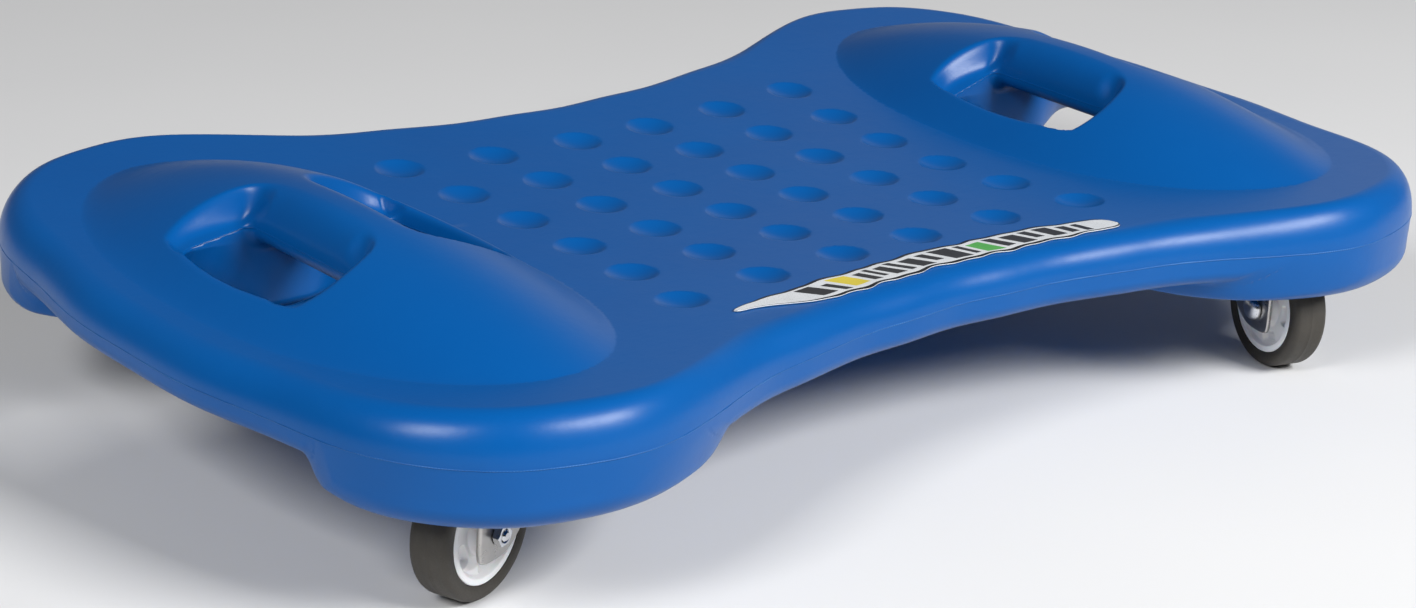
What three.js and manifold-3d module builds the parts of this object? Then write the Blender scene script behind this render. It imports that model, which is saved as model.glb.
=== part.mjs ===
// Scooter board: a one-piece hollow blow-moulded board on four swivel casters.
// Millimetres, +Z up, X along the board, Y across it.
// Origin: on the floor, under the middle of the board.
import * as THREE from 'three';
import { mergeVertices } from 'three/addons/utils/BufferGeometryUtils.js';
import Module from 'manifold-3d';

const wasm = await Module();
wasm.setup();

// ---------------------------------------------------------------- dimensions
const DECK_Z = 72.8;            // deck surface at the middle, above the floor
const PART_Z = 64.9;            // mould parting line round the rim
const DISH_X = 5.58e-5;         // rise of the deck, per mm squared
const DISH_Y = 3.194e-4;
const RIM_IN = 12.3;            // width of the rolled rim seen from above
// plan outline at the parting line: polar angle (deg) and radius, one quadrant
const OUT_A = [0, 8, 16, 22, 27, 31, 35, 39, 44, 50, 58, 68, 79, 90];
const OUT_R = [276.6, 278.1, 279.7, 284.7, 286.0, 282.9, 275.7, 263.1, 240.5, 194.9, 161.8, 140.6, 130.8, 126.5];
const WALL = 4.0;               // skin of the blow moulding
// handle mounds
const MOUND_X = 190, MOUND_A = 67, MOUND_B = 132, MOUND_H = 29;
// hand slots, measured across from the mound's long axis
const SLOT_IN = 15.5, SLOT_OUT = 47, SLOT_HALF = 34, SLOT_CORNER = 7, SLOT_BOW = 4;
const LIP_Z = DECK_Z + 9.5;     // parting edge on an outer slot's low lip
const LIP_IN_Z = DECK_Z + 5.2;  // the same on an inner slot
const GRIP_Z = DECK_Z + 14.5;   // parting edge along the grip
const GRIP_BOT = DECK_Z + 8;    // underside of the grip
const GRIP_ROUND = 13, LIP_ROUND = 4.5;
const HEART_U = 34, HEART_V = 17, BOWL_R = 31; // centre and radius of a slot's sunk end
const POCKET_U = 61.5, POCKET_V = 31.2, POCKET_FLARE = 19, POCKET_CORNER = 12; // the pocket where it meets the underside
// underside
const BELLY_Z = 53.5, END_Z = 55.8, POD_Z = 41.9;
const POD_X = 188.3, POD_Y = 109, POD_A = 79.7, POD_B = 60.2, POD_TURN = 13.9 * Math.PI / 180; // ellipse at half the wall's height
const RECESS_R = 48, RECESS_TOP = 66;
// casters
const CAST_X = 194, CAST_Y = 106.3, TRAIL = 18.9;
const AXLE_Z = 25.2, WHEEL_R = 25.2, WHEEL_W = 15.8, RIM_R = 19.2;
// heading of each caster: direction from the wheel to its swivel axis
const CASTERS = [
  ['fl', -1, -1, 18.6],
  ['fr', 1, -1, 74.4],
  ['rl', -1, 1, 196],
  ['rr', 1, 1, 142],
];
// dimple rows on the deck (one quadrant, outermost row first)
const DIMPLES = [
  [102.7, 88.0], [60.2, 83.3], [19.0, 81.3],
  [97.0, 52.3], [58.1, 50.0], [19.0, 48.6],
  [94.3, 17.6], [57.1, 16.7], [19.0, 16.2],
];
const DIMPLE_R = 9.2, DIMPLE_D = 1.7;

// ---------------------------------------------------------------- colours
const BLUE = 0x1259a8, STEEL = 0xa9adb2, HUB = 0xe8e9ea, TYRE = 0x4a4743, ZINC = 0xc4c6c8, PALE = 0xdfe3e6;
const mat = (color, roughness, metalness) => new THREE.MeshStandardMaterial({ color, roughness, metalness });

// ---------------------------------------------------------------- helpers
const clamp = (v, a, b) => Math.min(b, Math.max(a, v));
const smooth = (t) => { t = clamp(t, 0, 1); return t * t * (3 - 2 * t); };
const DEG = Math.PI / 180;

function toSolid(geometry) {
  let g = geometry.clone();
  g.deleteAttribute('normal');
  g.deleteAttribute('uv');
  g = mergeVertices(g, 1e-5);
  return new wasm.Manifold(new wasm.Mesh({
    numProp: 3,
    vertProperties: new Float32Array(g.attributes.position.array),
    triVerts: new Uint32Array(g.index.array),
  }));
}
function toGeometry(solid) {
  const m = solid.getMesh();
  const g = new THREE.BufferGeometry();
  g.setAttribute('position', new THREE.BufferAttribute(new Float32Array(m.vertProperties), 3));
  g.setIndex(new THREE.BufferAttribute(new Uint32Array(m.triVerts), 1));
  g.computeVertexNormals();
  return g;
}
const moved = (g, x, y, z) => g.translate(x, y, z);
function upright(r0, r1, h, n) { // cylinder standing on z = 0; r0 below, r1 above
  return new THREE.CylinderGeometry(r1, r0, h, n).rotateX(Math.PI / 2).translate(0, 0, h / 2);
}
function prism(points, z0, z1) { // closed polygon extruded from z0 to z1
  const s = new THREE.Shape(points.map(([x, y]) => new THREE.Vector2(x, y)));
  return new THREE.ExtrudeGeometry(s, { depth: z1 - z0, bevelEnabled: false }).translate(0, 0, z0);
}

// ---------------------------------------------------------------- outline
const splineSlopes = (() => { // clamped cubic spline, level at both ends
  const n = OUT_A.length, x = OUT_A.map((a) => a * DEG), y = OUT_R;
  const a = [], b = [], c = [], d = [];
  for (let i = 0; i < n; i++) {
    if (i === 0 || i === n - 1) { a.push(0); b.push(1); c.push(0); d.push(0); continue; }
    const h0 = x[i] - x[i - 1], h1 = x[i + 1] - x[i];
    a.push(1 / h0); b.push(2 / h0 + 2 / h1); c.push(1 / h1);
    d.push(3 * ((y[i] - y[i - 1]) / (h0 * h0) + (y[i + 1] - y[i]) / (h1 * h1)));
  }
  for (let i = 1; i < n; i++) { const w = a[i] / b[i - 1]; b[i] -= w * c[i - 1]; d[i] -= w * d[i - 1]; }
  const m = new Array(n);
  m[n - 1] = d[n - 1] / b[n - 1];
  for (let i = n - 2; i >= 0; i--) m[i] = (d[i] - c[i] * m[i + 1]) / b[i];
  return m;
})();
function radiusAt(theta) { // theta folded into the first quadrant, radians
  let i = 0;
  while (i < OUT_A.length - 2 && theta > OUT_A[i + 1] * DEG) i++;
  const x0 = OUT_A[i] * DEG, h = (OUT_A[i + 1] - OUT_A[i]) * DEG, t = clamp((theta - x0) / h, 0, 1);
  const y0 = OUT_R[i], y1 = OUT_R[i + 1], m0 = splineSlopes[i] * h, m1 = splineSlopes[i + 1] * h;
  const t2 = t * t, t3 = t2 * t;
  const r = y0 * (2 * t3 - 3 * t2 + 1) + m0 * (t3 - 2 * t2 + t) + y1 * (3 * t2 - 2 * t3) + m1 * (t3 - t2);
  const dr = (y0 * (6 * t2 - 6 * t) + m0 * (3 * t2 - 4 * t + 1) + y1 * (6 * t - 6 * t2) + m1 * (3 * t2 - 2 * t)) / h;
  return [r, dr];
}
function inset(x, y) { // distance in from the outline, near enough
  const [r, dr] = radiusAt(Math.atan2(Math.abs(y), Math.abs(x)));
  return (r - Math.hypot(x, y)) / Math.sqrt(1 + (dr / r) ** 2);
}
function outlinePoints(n) { // evenly spaced along the outline, with outward normals
  const N = 3600, pts = [], len = [0];
  for (let k = 0; k <= N; k++) {
    const th = k / N * 2 * Math.PI;
    const f = Math.atan2(Math.abs(Math.sin(th)), Math.abs(Math.cos(th)));
    const [r] = radiusAt(f);
    pts.push([r * Math.cos(th), r * Math.sin(th)]);
    if (k) len.push(len[k - 1] + Math.hypot(pts[k][0] - pts[k - 1][0], pts[k][1] - pts[k - 1][1]));
  }
  const out = [];
  let k = 0;
  for (let i = 0; i < n; i++) {
    const s = len[N] * i / n;
    while (len[k + 1] < s) k++;
    const t = (s - len[k]) / (len[k + 1] - len[k]);
    const x = pts[k][0] + t * (pts[k + 1][0] - pts[k][0]), y = pts[k][1] + t * (pts[k + 1][1] - pts[k][1]);
    const a = pts[(k + N - 6) % N], b = pts[(k + 7) % N];
    const l = Math.hypot(b[0] - a[0], b[1] - a[1]);
    out.push([x, y, (b[1] - a[1]) / l, -(b[0] - a[0]) / l]);
  }
  return out;
}

// ---------------------------------------------------------------- board surfaces
const deck = (x, y) => DECK_Z + DISH_X * x * x + DISH_Y * y * y;
function mound(x, y) {
  const u = Math.abs(x) - MOUND_X, v = Math.abs(y) / MOUND_B;
  if (v >= 1) return 0;
  const w = MOUND_A * Math.sqrt(1 - v ** 2.4), t = Math.abs(u) / w;
  return t >= 1 ? 0 : MOUND_H * (1 - v * v) * (1 - t * t) ** (u > 0 ? 1.45 : 1.15);
}
function slotEdge(v) { return SLOT_OUT - 2 + clamp(SLOT_BOW * (1 - (v / SLOT_HALF) ** 2), -6, SLOT_BOW); }
const BOWL_B = (() => { // rise across a sunk slot end: shallow at the slot, steep two thirds of the way out, level at the mound
  const n = 200, hump = (t) => t ** 8 * (1 - t) ** 4, out = [0];
  let area = 0;
  for (let k = 0; k < n; k++) area += hump((k + 0.5) / n) / n;
  for (let k = 0; k < n; k++) { const t = (k + 0.5) / n; out.push(out[k] + (0.30 * (1 - t) + hump(t) * 0.85 / area) / n); }
  return out.map((v) => v / out[n]);
})();
function bowlEdges(c, s, v) { // nearest and farthest radius of the sunk border seen from the slot's heart in direction (c towards the grip, s along it)
  const side = c > 0 ? HEART_U - SLOT_IN : slotEdge(v) - HEART_U, end = SLOT_HALF - HEART_V, a = Math.abs(c), b = Math.abs(s);
  let near = Math.min(side / Math.max(a, 1e-9), end / Math.max(b, 1e-9));
  const kx = side - SLOT_CORNER, ky = end - SLOT_CORNER;
  if (near * a > kx && near * b > ky) { const m = a * kx + b * ky; near = m + Math.sqrt(Math.max(m * m - (kx * kx + ky * ky - SLOT_CORNER ** 2), 0)); }
  const far = (side + (c > 0 ? GRIP_ROUND : LIP_ROUND)) / Math.max(a, 1e-9);
  let out = Math.min(BOWL_R, far);
  if (Math.abs(far - BOWL_R) < 3) out -= (3 - Math.abs(far - BOWL_R)) ** 2 / 12;
  return [near, Math.max(out, near + 0.5)];
}
function bowl(x, y) { // position across the border (0 at the slot, 1 at the mound) and how far it is an end bowl
  const u = Math.abs(Math.abs(x) - MOUND_X), v = Math.abs(y), du = HEART_U - u, dv = Math.max(v - HEART_V, 0);
  const r = Math.hypot(du, dv) + 1e-9, [near, out] = bowlEdges(du / r, dv / r, v);
  const phi = Math.atan2(dv, du) / DEG;
  return [(r - near) / (out - near), smooth((phi - 18) / 36) * (1 - smooth((phi - 116) / 30)), u];
}
function topZ(x, y, ring = 1e9) { // outer top surface; ring = known inset near the rim
  let z = deck(x, y) + mound(x, y);
  if (Math.abs(Math.abs(x) - MOUND_X) < 85 && Math.abs(y) < 70) {
    const [q, w, u] = bowl(x, y);
    const zf = GRIP_Z + ((Math.abs(x) > MOUND_X ? LIP_Z : LIP_IN_Z) - GRIP_Z) * clamp((u - SLOT_IN) / (SLOT_OUT - SLOT_IN), 0, 1);
    if (q <= 0) z = zf;
    else if (q < 1) z = Math.min(z, zf + (Math.max(z, zf) - zf) * ((1 - w) * Math.sqrt(1 - (1 - q) ** 2) + w * BOWL_B[Math.round(q * 200)]));
  }
  const t = ring < 1e8 ? ring : inset(x, y);
  if (t < RIM_IN) { const q = 1 - clamp(t, 0, RIM_IN) / RIM_IN; z = PART_Z + (z - PART_Z) * Math.sqrt(1 - q * q); }
  return z;
}
function podLevel(x, y) { // about the distance outside the middle of the pod's wall
  const dx = Math.abs(x) - POD_X, dy = Math.abs(y) - POD_Y, c = Math.cos(POD_TURN), s = Math.sin(POD_TURN);
  const u = dx * c + dy * s, v = -dx * s + dy * c;
  const r = Math.hypot(u / POD_A, v / POD_B);
  return (r - 1) * Math.hypot(u, v) / Math.max(r, 1e-6);
}
const thinZ = (x) => BELLY_Z + (END_Z - BELLY_Z) * smooth((Math.abs(x) - 215) / 45);
function bottomZ(x, y) {
  const t = thinZ(x), l = podLevel(x, y), f = clamp((1.5 - l) / 18, 0, 1);
  return t + (POD_Z - t) * (0.62 * smooth((4.5 - l) / 7) + 0.38 * (1 - (1 - f) ** 2)); // steep wall, then a long round to the pod's floor
}

// ---------------------------------------------------------------- triangulation of scattered points
function triangulate(pts, inside) {
  let seed = 7;
  const rnd = () => (seed = (seed * 16807) % 2147483647) / 2147483647 - 0.5;
  const P = pts.map(([x, y]) => [x + rnd() * 2e-3, y + rnd() * 2e-3]);
  const n = P.length;
  P.push([-4000, -3000], [4000, -3000], [0, 5000]);
  const circle = (a, b, c) => {
    const [ax, ay] = P[a], [bx, by] = P[b], [cx, cy] = P[c];
    const d = 2 * (ax * (by - cy) + bx * (cy - ay) + cx * (ay - by));
    const A = ax * ax + ay * ay, B = bx * bx + by * by, C = cx * cx + cy * cy;
    const x = (A * (by - cy) + B * (cy - ay) + C * (ay - by)) / d, y = (A * (cx - bx) + B * (ax - cx) + C * (bx - ax)) / d;
    return [a, b, c, x, y, (ax - x) ** 2 + (ay - y) ** 2];
  };
  let tris = [circle(n, n + 1, n + 2)];
  const order = [...Array(n).keys()].sort((i, j) => P[i][0] - P[j][0]);
  let done = [];
  for (const i of order) {
    const [px, py] = P[i];
    const edges = new Map(), keep = [];
    for (const t of tris) {
      const dx = px - t[3];
      if (dx > 0 && dx * dx > t[5]) { done.push(t); continue; }
      if (dx * dx + (py - t[4]) ** 2 < t[5]) {
        for (const [u, v] of [[t[0], t[1]], [t[1], t[2]], [t[2], t[0]]]) {
          if (edges.has(v * 100000 + u)) edges.delete(v * 100000 + u); else edges.set(u * 100000 + v, [u, v]);
        }
      } else keep.push(t);
    }
    for (const [u, v] of edges.values()) keep.push(circle(u, v, i));
    tris = keep;
  }
  done = done.concat(tris);
  const out = [];
  for (const [a, b, c] of done) {
    if (a >= n || b >= n || c >= n) continue;
    const cx = (P[a][0] + P[b][0] + P[c][0]) / 3, cy = (P[a][1] + P[b][1] + P[c][1]) / 3;
    if (!inside(cx, cy)) continue;
    const area = (P[b][0] - P[a][0]) * (P[c][1] - P[a][1]) - (P[c][0] - P[a][0]) * (P[b][1] - P[a][1]);
    out.push(area > 0 ? [a, b, c] : [a, c, b]);
  }
  return out;
}
function inPolygon(poly, x, y) {
  let c = false;
  for (let i = 0, j = poly.length - 1; i < poly.length; j = i++) {
    const [xi, yi] = poly[i], [xj, yj] = poly[j];
    if ((yi > y) !== (yj > y) && x < (xj - xi) * (y - yi) / (yj - yi) + xi) c = !c;
  }
  return c;
}
function polygonGap(poly, x, y) {
  let best = 1e9;
  for (let i = 0, j = poly.length - 1; i < poly.length; j = i++) {
    const [ax, ay] = poly[j], [bx, by] = poly[i], dx = bx - ax, dy = by - ay;
    const t = clamp(((x - ax) * dx + (y - ay) * dy) / (dx * dx + dy * dy), 0, 1);
    best = Math.min(best, Math.hypot(x - ax - t * dx, y - ay - t * dy));
  }
  return best;
}
// fixed = ring vertices (kept), wanted = candidate points with the smallest spacing each tolerates
function scatter(ring, wanted, edgeGap) {
  const cell = 6, grid = new Map(), pts = ring.map((p) => [p[0], p[1]]);
  const key = (x, y) => Math.floor(x / cell) * 10007 + Math.floor(y / cell);
  const put = (p) => { const k = key(p[0], p[1]); if (!grid.has(k)) grid.set(k, []); grid.get(k).push(p); };
  const near = (x, y, r) => {
    const m = Math.ceil(r / cell);
    for (let i = -m; i <= m; i++) for (let j = -m; j <= m; j++) {
      for (const q of grid.get(key(x + i * cell, y + j * cell)) || []) if (Math.hypot(q[0] - x, q[1] - y) < r) return true;
    }
    return false;
  };
  for (const [x, y, gap] of wanted) {
    if (!inPolygon(ring, x, y) || polygonGap(ring, x, y) < edgeGap) continue;
    if (near(x, y, gap)) continue;
    put([x, y]); pts.push([x, y]);
  }
  return pts;
}
function fill(step, xmax, ymax) {
  const out = [];
  for (let j = -Math.ceil(ymax / (step * 0.866)); j <= Math.ceil(ymax / (step * 0.866)); j++) {
    for (let i = -Math.ceil(xmax / step); i <= Math.ceil(xmax / step); i++) out.push([(i + (j & 1 ? 0.5 : 0)) * step, j * step * 0.866, step * 0.72]);
  }
  return out;
}

// closed body from a stack of rim rings with a triangulated cap at each end
function shell(rings, topPts, topFn, botPts, botFn) {
  const V = [], F = [], n = rings[0].length;
  for (const ring of rings) for (const p of ring) V.push(p);
  const cap = (ringIndex, pts, fn, flip) => {
    const base = ringIndex * n, map = [];
    for (let i = 0; i < pts.length; i++) {
      if (i < n) map.push(base + i); else { map.push(V.length); V.push([pts[i][0], pts[i][1], fn(pts[i][0], pts[i][1])]); }
    }
    const poly = pts.slice(0, n);
    for (const [a, b, c] of triangulate(pts, (x, y) => inPolygon(poly, x, y))) F.push(flip ? [map[a], map[c], map[b]] : [map[a], map[b], map[c]]);
  };
  for (let k = 0; k + 1 < rings.length; k++) { // rings run from the top cap down to the bottom cap
    for (let i = 0; i < n; i++) {
      const j = (i + 1) % n, a = k * n + i, b = k * n + j, c = (k + 1) * n + i, d = (k + 1) * n + j;
      F.push([a, c, d], [a, d, b]);
    }
  }
  cap(0, topPts, topFn, false);
  cap(rings.length - 1, botPts, botFn, true);
  const g = new THREE.BufferGeometry();
  g.setAttribute('position', new THREE.BufferAttribute(new Float32Array(V.flat()), 3));
  g.setIndex(F.flat());
  return g;
}

// ---------------------------------------------------------------- slot plan polygon
function slotPolygon(n, grow = 0) { // in mound-centred [u, v], counter-clockwise
  const u0 = SLOT_IN - grow, h = SLOT_HALF + grow, r = SLOT_CORNER + grow, p = [];
  const arc = (cu, cv, a0, a1) => { for (let k = 0; k <= n; k++) { const a = (a0 + (a1 - a0) * k / n) * DEG; p.push([cu + r * Math.cos(a), cv + r * Math.sin(a)]); } };
  const edge = (v) => slotEdge(v) + grow, e = edge(h - r);
  arc(e - r, -(h - r), -90, 0);
  for (let k = 1; k < 4; k++) { const v = -(h - r) + 2 * (h - r) * k / 4; p.push([edge(v), v]); }
  arc(e - r, h - r, 0, 90); arc(u0 + r, h - r, 90, 180); arc(u0 + r, -(h - r), 180, 270);
  return p;
}

// plan of the pocket under a grip, seen from the mound's middle; k runs from 0 at the slots to 1 at the underside
const pocketU = (v, k) => slotEdge(v) + k * (POCKET_U - slotEdge(v));
const pocketV = (u, k) => SLOT_HALF + k * (POCKET_V + POCKET_FLARE * smooth((Math.abs(u) - 7) / 43) - SLOT_HALF);
function pocketRing(right, left, grow, n) { // right and left: k on the two sides of the grip
  const out = [];
  const gap = (u, v) => {
    const k = left + (right - left) * smooth((u + 15) / 30), c = SLOT_CORNER + (POCKET_CORNER - SLOT_CORNER) * k;
    const a = Math.abs(u) - pocketU(v, k) + c, b = Math.abs(v) - pocketV(u, k) + c;
    return Math.min(Math.max(a, b), 0) + Math.hypot(Math.max(a, 0), Math.max(b, 0)) - c - grow;
  };
  for (let i = 0; i < n; i++) {
    const a = (i + 0.5) / n * 2 * Math.PI, cs = Math.cos(a), sn = Math.sin(a);
    let lo = 0, hi = 110;
    for (let j = 0; j < 40; j++) { const m = (lo + hi) / 2; if (gap(m * cs, m * sn) < 0) lo = m; else hi = m; }
    out.push([lo * cs, lo * sn]);
  }
  return out;
}
function loft(levels) { // closed body through rings of equal length, lowest first: [points, z]
  const V = [], F = [], n = levels[0][0].length, m = levels.length;
  for (const [pts, z] of levels) for (const [u, v] of pts) V.push([u, v, z]);
  for (let k = 0; k + 1 < m; k++) for (let i = 0; i < n; i++) {
    const j = (i + 1) % n, a = k * n + i, b = k * n + j, c = a + n, d = b + n;
    F.push([a, b, d], [a, d, c]);
  }
  V.push([0, 0, levels[0][1]], [0, 0, levels[m - 1][1]]);
  for (let i = 0; i < n; i++) { const j = (i + 1) % n; F.push([m * n, j, i], [m * n + 1, (m - 1) * n + i, (m - 1) * n + j]); }
  const g = new THREE.BufferGeometry();
  g.setAttribute('position', new THREE.BufferAttribute(new Float32Array(V.flat()), 3));
  g.setIndex(F.flat());
  return g;
}

// ---------------------------------------------------------------- board
function makeBoard() {
  const n = 88, base = outlinePoints(n);
  const at = (p, t, z) => [p[0] - p[2] * t, p[1] - p[3] * t, z];
  const rings = [];
  for (const e of [90, 60, 32, 12]) rings.push(base.map((p) => {
    const t = RIM_IN * (1 - Math.cos(e * DEG)), q = at(p, RIM_IN, 0), zd = deck(q[0], q[1]);
    return at(p, t, PART_Z + (zd - PART_Z) * Math.sin(e * DEG));
  }));
  rings.push(base.map((p) => at(p, 0, PART_Z)));
  for (const e of [0, 35, 65, 90]) rings.push(base.map((p) => {
    const probe = at(p, 9, 0), zb = bottomZ(probe[0], probe[1]), rb = zb < 50 ? 8 : 6;
    return at(p, 0.5 + rb * (1 - Math.cos(e * DEG)), zb + rb * (1 - Math.sin(e * DEG)));
  }));
  // top surface points
  const want = [];
  const slots = [[-1, -1], [-1, 1], [1, -1], [1, 1]];
  for (const [sx, su] of slots) {
    const poly = slotPolygon(3);
    for (const d of [-1.6, 0.3]) {
      for (let i = 0; i < poly.length; i++) {
        const a = poly[(i + poly.length - 1) % poly.length], b = poly[(i + 1) % poly.length], l = Math.hypot(b[0] - a[0], b[1] - a[1]);
        want.push([sx * (MOUND_X + su * (poly[i][0] + (b[1] - a[1]) / l * d)), poly[i][1] - (b[0] - a[0]) / l * d, 2.2]);
      }
    }
    for (const q of [0.16, 0.4, 0.6, 0.72, 0.84, 1]) {
      for (const v of [-12.75, -4.25, 4.25, 12.75]) {
        want.push([sx * (MOUND_X + su * (SLOT_IN - q * GRIP_ROUND)), v, 2.2], [sx * (MOUND_X + su * (slotEdge(v) + q * LIP_ROUND)), v, 1.9]);
      }
      for (const sv of [-1, 1]) for (let k = 0; k <= 12; k++) {
        const c = Math.cos(k * 15 * DEG), s = Math.sin(k * 15 * DEG);
        let [near, out] = bowlEdges(c, s, HEART_V);
        for (let i = 0; i < 3; i++) [near, out] = bowlEdges(c, s, HEART_V + s * (near + q * (out - near)));
        const r = near + q * (out - near);
        want.push([sx * (MOUND_X + su * (HEART_U - r * c)), sv * (HEART_V + r * s), 2.2]);
      }
    }
  }
  for (const sx of [-1, 1]) {
    for (const [u, step] of [[0, 8.5], [6, 8.5], [-6, 8.5], [10.6, 8.5], [-10.6, 8.5], [13.6, 8.5], [-13.6, 8.5]]) {
      for (let v = -34 + (Math.abs(u) === 6 || Math.abs(u) === 13.6 ? 4.25 : 0); v <= 34; v += step) want.unshift([sx * MOUND_X + u, v, 2.2]);
    }
    for (const [rho, m] of [[1.0, 32], [0.9, 32], [0.74, 32], [0.56, 24], [0.36, 16], [1.14, 24]]) {
      for (let k = 0; k < m; k++) {
        const a = k / m * 2 * Math.PI;
        want.push([sx * (MOUND_X + rho * MOUND_A * Math.cos(a)), rho * MOUND_B * Math.sin(a), 6]);
      }
    }
  }
  const dimpleCentres = [];
  for (const [x, y] of DIMPLES) for (const sx of [-1, 1]) for (const sy of [-1, 1]) dimpleCentres.push([sx * x, sy * y]);
  for (const [x, y] of dimpleCentres) {
    want.push([x, y, 1]);
    for (let k = 0; k < 10; k++) want.push([x + DIMPLE_R * Math.cos(k * 36 * DEG), y + DIMPLE_R * Math.sin(k * 36 * DEG), 1]);
    for (let k = 0; k < 5; k++) want.push([x + 0.55 * DIMPLE_R * Math.cos(k * 72 * DEG), y + 0.55 * DIMPLE_R * Math.sin(k * 72 * DEG), 1]);
  }
  const topFn = (x, y) => {
    let z = topZ(x, y);
    for (const [cx, cy] of dimpleCentres) {
      const r = Math.hypot(x - cx, y - cy) / DIMPLE_R;
      if (r < 0.99) z -= DIMPLE_D * (1 - r * r) * 1.1;
    }
    return z;
  };
  want.push(...fill(22, 285, 175));
  const topPts = scatter(rings[0], want, 4.5);
  // underside points
  const low = [];
  for (const sx of [-1, 1]) for (const sy of [-1, 1]) {
    for (const [off, m] of [[4.5, 30], [2.2, 30], [0, 30], [-2.5, 30], [-8, 26]]) {
      for (let k = 0; k < m; k++) {
        const a = k / m * 2 * Math.PI, c = Math.cos(POD_TURN), s = Math.sin(POD_TURN);
        const u = (POD_A + off) * Math.cos(a), v = (POD_B + off) * Math.sin(a);
        low.push([sx * (POD_X + u * c - v * s), sy * (POD_Y + u * s + v * c), 2.2]);
      }
    }
  }
  for (const x of [-258, -244, -230, -217, 217, 230, 244, 258]) for (let y = -120; y <= 120; y += 24) low.push([x, y, 9]);
  low.push(...fill(30, 285, 175));
  const botPts = scatter(rings[rings.length - 1], low, 3.5);
  let board = toSolid(shell(rings, topPts, topFn, botPts, bottomZ));

  // the hollow inside, one skin in from every face
  const hollowRing = outlinePoints(52).map((p) => [p[0] - 7.5 * p[2], p[1] - 7.5 * p[3]]);
  const hollowTop = (x, y) => {
    const e = 1.5, z = topZ(x, y);
    const gx = (topZ(x + e, y) - topZ(x - e, y)) / (2 * e), gy = (topZ(x, y + e) - topZ(x, y - e)) / (2 * e);
    return z - WALL * Math.min(Math.hypot(1, gx, gy), 2.1) - 0.4 - (Math.abs(x) < 115 && Math.abs(y) < 100 ? 1.2 : 0);
  };
  const hollowBot = (x, y) => {
    let z = -1e9;
    for (const [dx, dy] of [[0, 0], [6, 0], [-6, 0], [0, 6], [0, -6]]) z = Math.max(z, bottomZ(x + dx, y + dy));
    return Math.min(z + WALL, hollowTop(x, y) - 2.5);
  };
  const inTop = [], inBot = [];
  for (const [sx, su] of slots) {
    const poly = slotPolygon(2, 4.4);
    for (const d of [0, 7, 18]) for (let i = 0; i < poly.length; i++) {
      const a = poly[(i + poly.length - 1) % poly.length], b = poly[(i + 1) % poly.length], l = Math.hypot(b[0] - a[0], b[1] - a[1]);
      inTop.push([sx * (MOUND_X + su * (poly[i][0] + (b[1] - a[1]) / l * d)), poly[i][1] - (b[0] - a[0]) / l * d, 5]);
    }
  }
  for (const sx of [-1, 1]) for (const [rho, m] of [[0.95, 20], [0.72, 16], [0.45, 12]]) for (let k = 0; k < m; k++) {
    const a = (k + 0.5) / m * 2 * Math.PI;
    inTop.push([sx * (MOUND_X + rho * MOUND_A * Math.cos(a)), rho * MOUND_B * Math.sin(a), 9]);
  }
  inTop.push(...fill(34, 280, 170));
  for (const sx of [-1, 1]) for (const sy of [-1, 1]) for (const [off, m] of [[9, 20], [1, 18], [-9, 16]]) for (let k = 0; k < m; k++) {
    const a = k / m * 2 * Math.PI, c = Math.cos(POD_TURN), s = Math.sin(POD_TURN);
    const u = (POD_A + off) * Math.cos(a), v = (POD_B + off) * Math.sin(a);
    inBot.push([sx * (POD_X + u * c - v * s), sy * (POD_Y + u * s + v * c), 6]);
  }
  inBot.push(...fill(42, 280, 170));
  const hTop = scatter(hollowRing, inTop, 5), hBot = scatter(hollowRing, inBot, 5);
  let hollow = toSolid(shell(
    [hollowRing.map(([x, y]) => [x, y, hollowTop(x, y)]), hollowRing.map(([x, y]) => [x, y, hollowBot(x, y)])],
    hTop, hollowTop, hBot, hollowBot));

  // both slots and the pocket under the grip, cut as one tool; grow thickens it for the hollow
  const handTool = (sx, grow) => {
    const sides = grow ? 36 : 64, low = pocketRing(1, 1, grow, sides), high = pocketRing(0, 0, grow, sides);
    const part = (LIP_Z - LIP_IN_Z) / 28.5, mid = sx > 0 ? pocketRing(part, 0, grow, sides) : pocketRing(0, part, grow, sides);
    let tool = toSolid(loft([[low, -10], [low, LIP_Z - 28.5], [mid, LIP_IN_Z], [high, LIP_Z], [high, GRIP_Z + (grow ? 2 : 0)]]));
    const w = SLOT_IN - grow, g = Math.max(grow, 0);
    const bar = [[-w, GRIP_Z + 30], [-w, GRIP_Z], [-w + 0.9, GRIP_Z - 3.2 + g * 0.6], [-w + 3.4, GRIP_BOT + 0.7 + g], [-w + 7 - g * 0.6, GRIP_BOT + g],
      [w - 7 + g * 0.6, GRIP_BOT + g], [w - 3.4, GRIP_BOT + 0.7 + g], [w - 0.9, GRIP_Z - 3.2 + g * 0.6], [w, GRIP_Z], [w, GRIP_Z + 30]];
    const long = SLOT_HALF + 12 + grow;
    const barShape = new THREE.Shape(bar.map(([u, z]) => new THREE.Vector2(u, z)));
    const barGeo = new THREE.ExtrudeGeometry(barShape, { depth: 2 * long, bevelEnabled: false }).rotateX(Math.PI / 2).translate(0, long, 0);
    tool = tool.subtract(toSolid(barGeo));
    for (const s of [-1, 1]) {
      let poly = slotPolygon(4, grow).map(([u, v]) => [s * u, v]);
      if (s < 0) poly = poly.reverse();
      tool = tool.add(toSolid(prism(poly, LIP_IN_Z - 3, DECK_Z + 60)));
    }
    return tool.translate([sx * MOUND_X, 0, 0]);
  };
  const recess = (sx, sy, grow) => toSolid(moved(upright(RECESS_R + grow, RECESS_R + grow, RECESS_TOP + grow + 10, grow ? 20 : 36), sx * CAST_X, sy * CAST_Y, -10));
  for (const sx of [-1, 1]) {
    board = board.subtract(handTool(sx, 0));
    hollow = hollow.subtract(handTool(sx, WALL));
    for (const sy of [-1, 1]) {
      board = board.subtract(recess(sx, sy, 0));
      hollow = hollow.subtract(recess(sx, sy, WALL));
    }
  }
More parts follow.
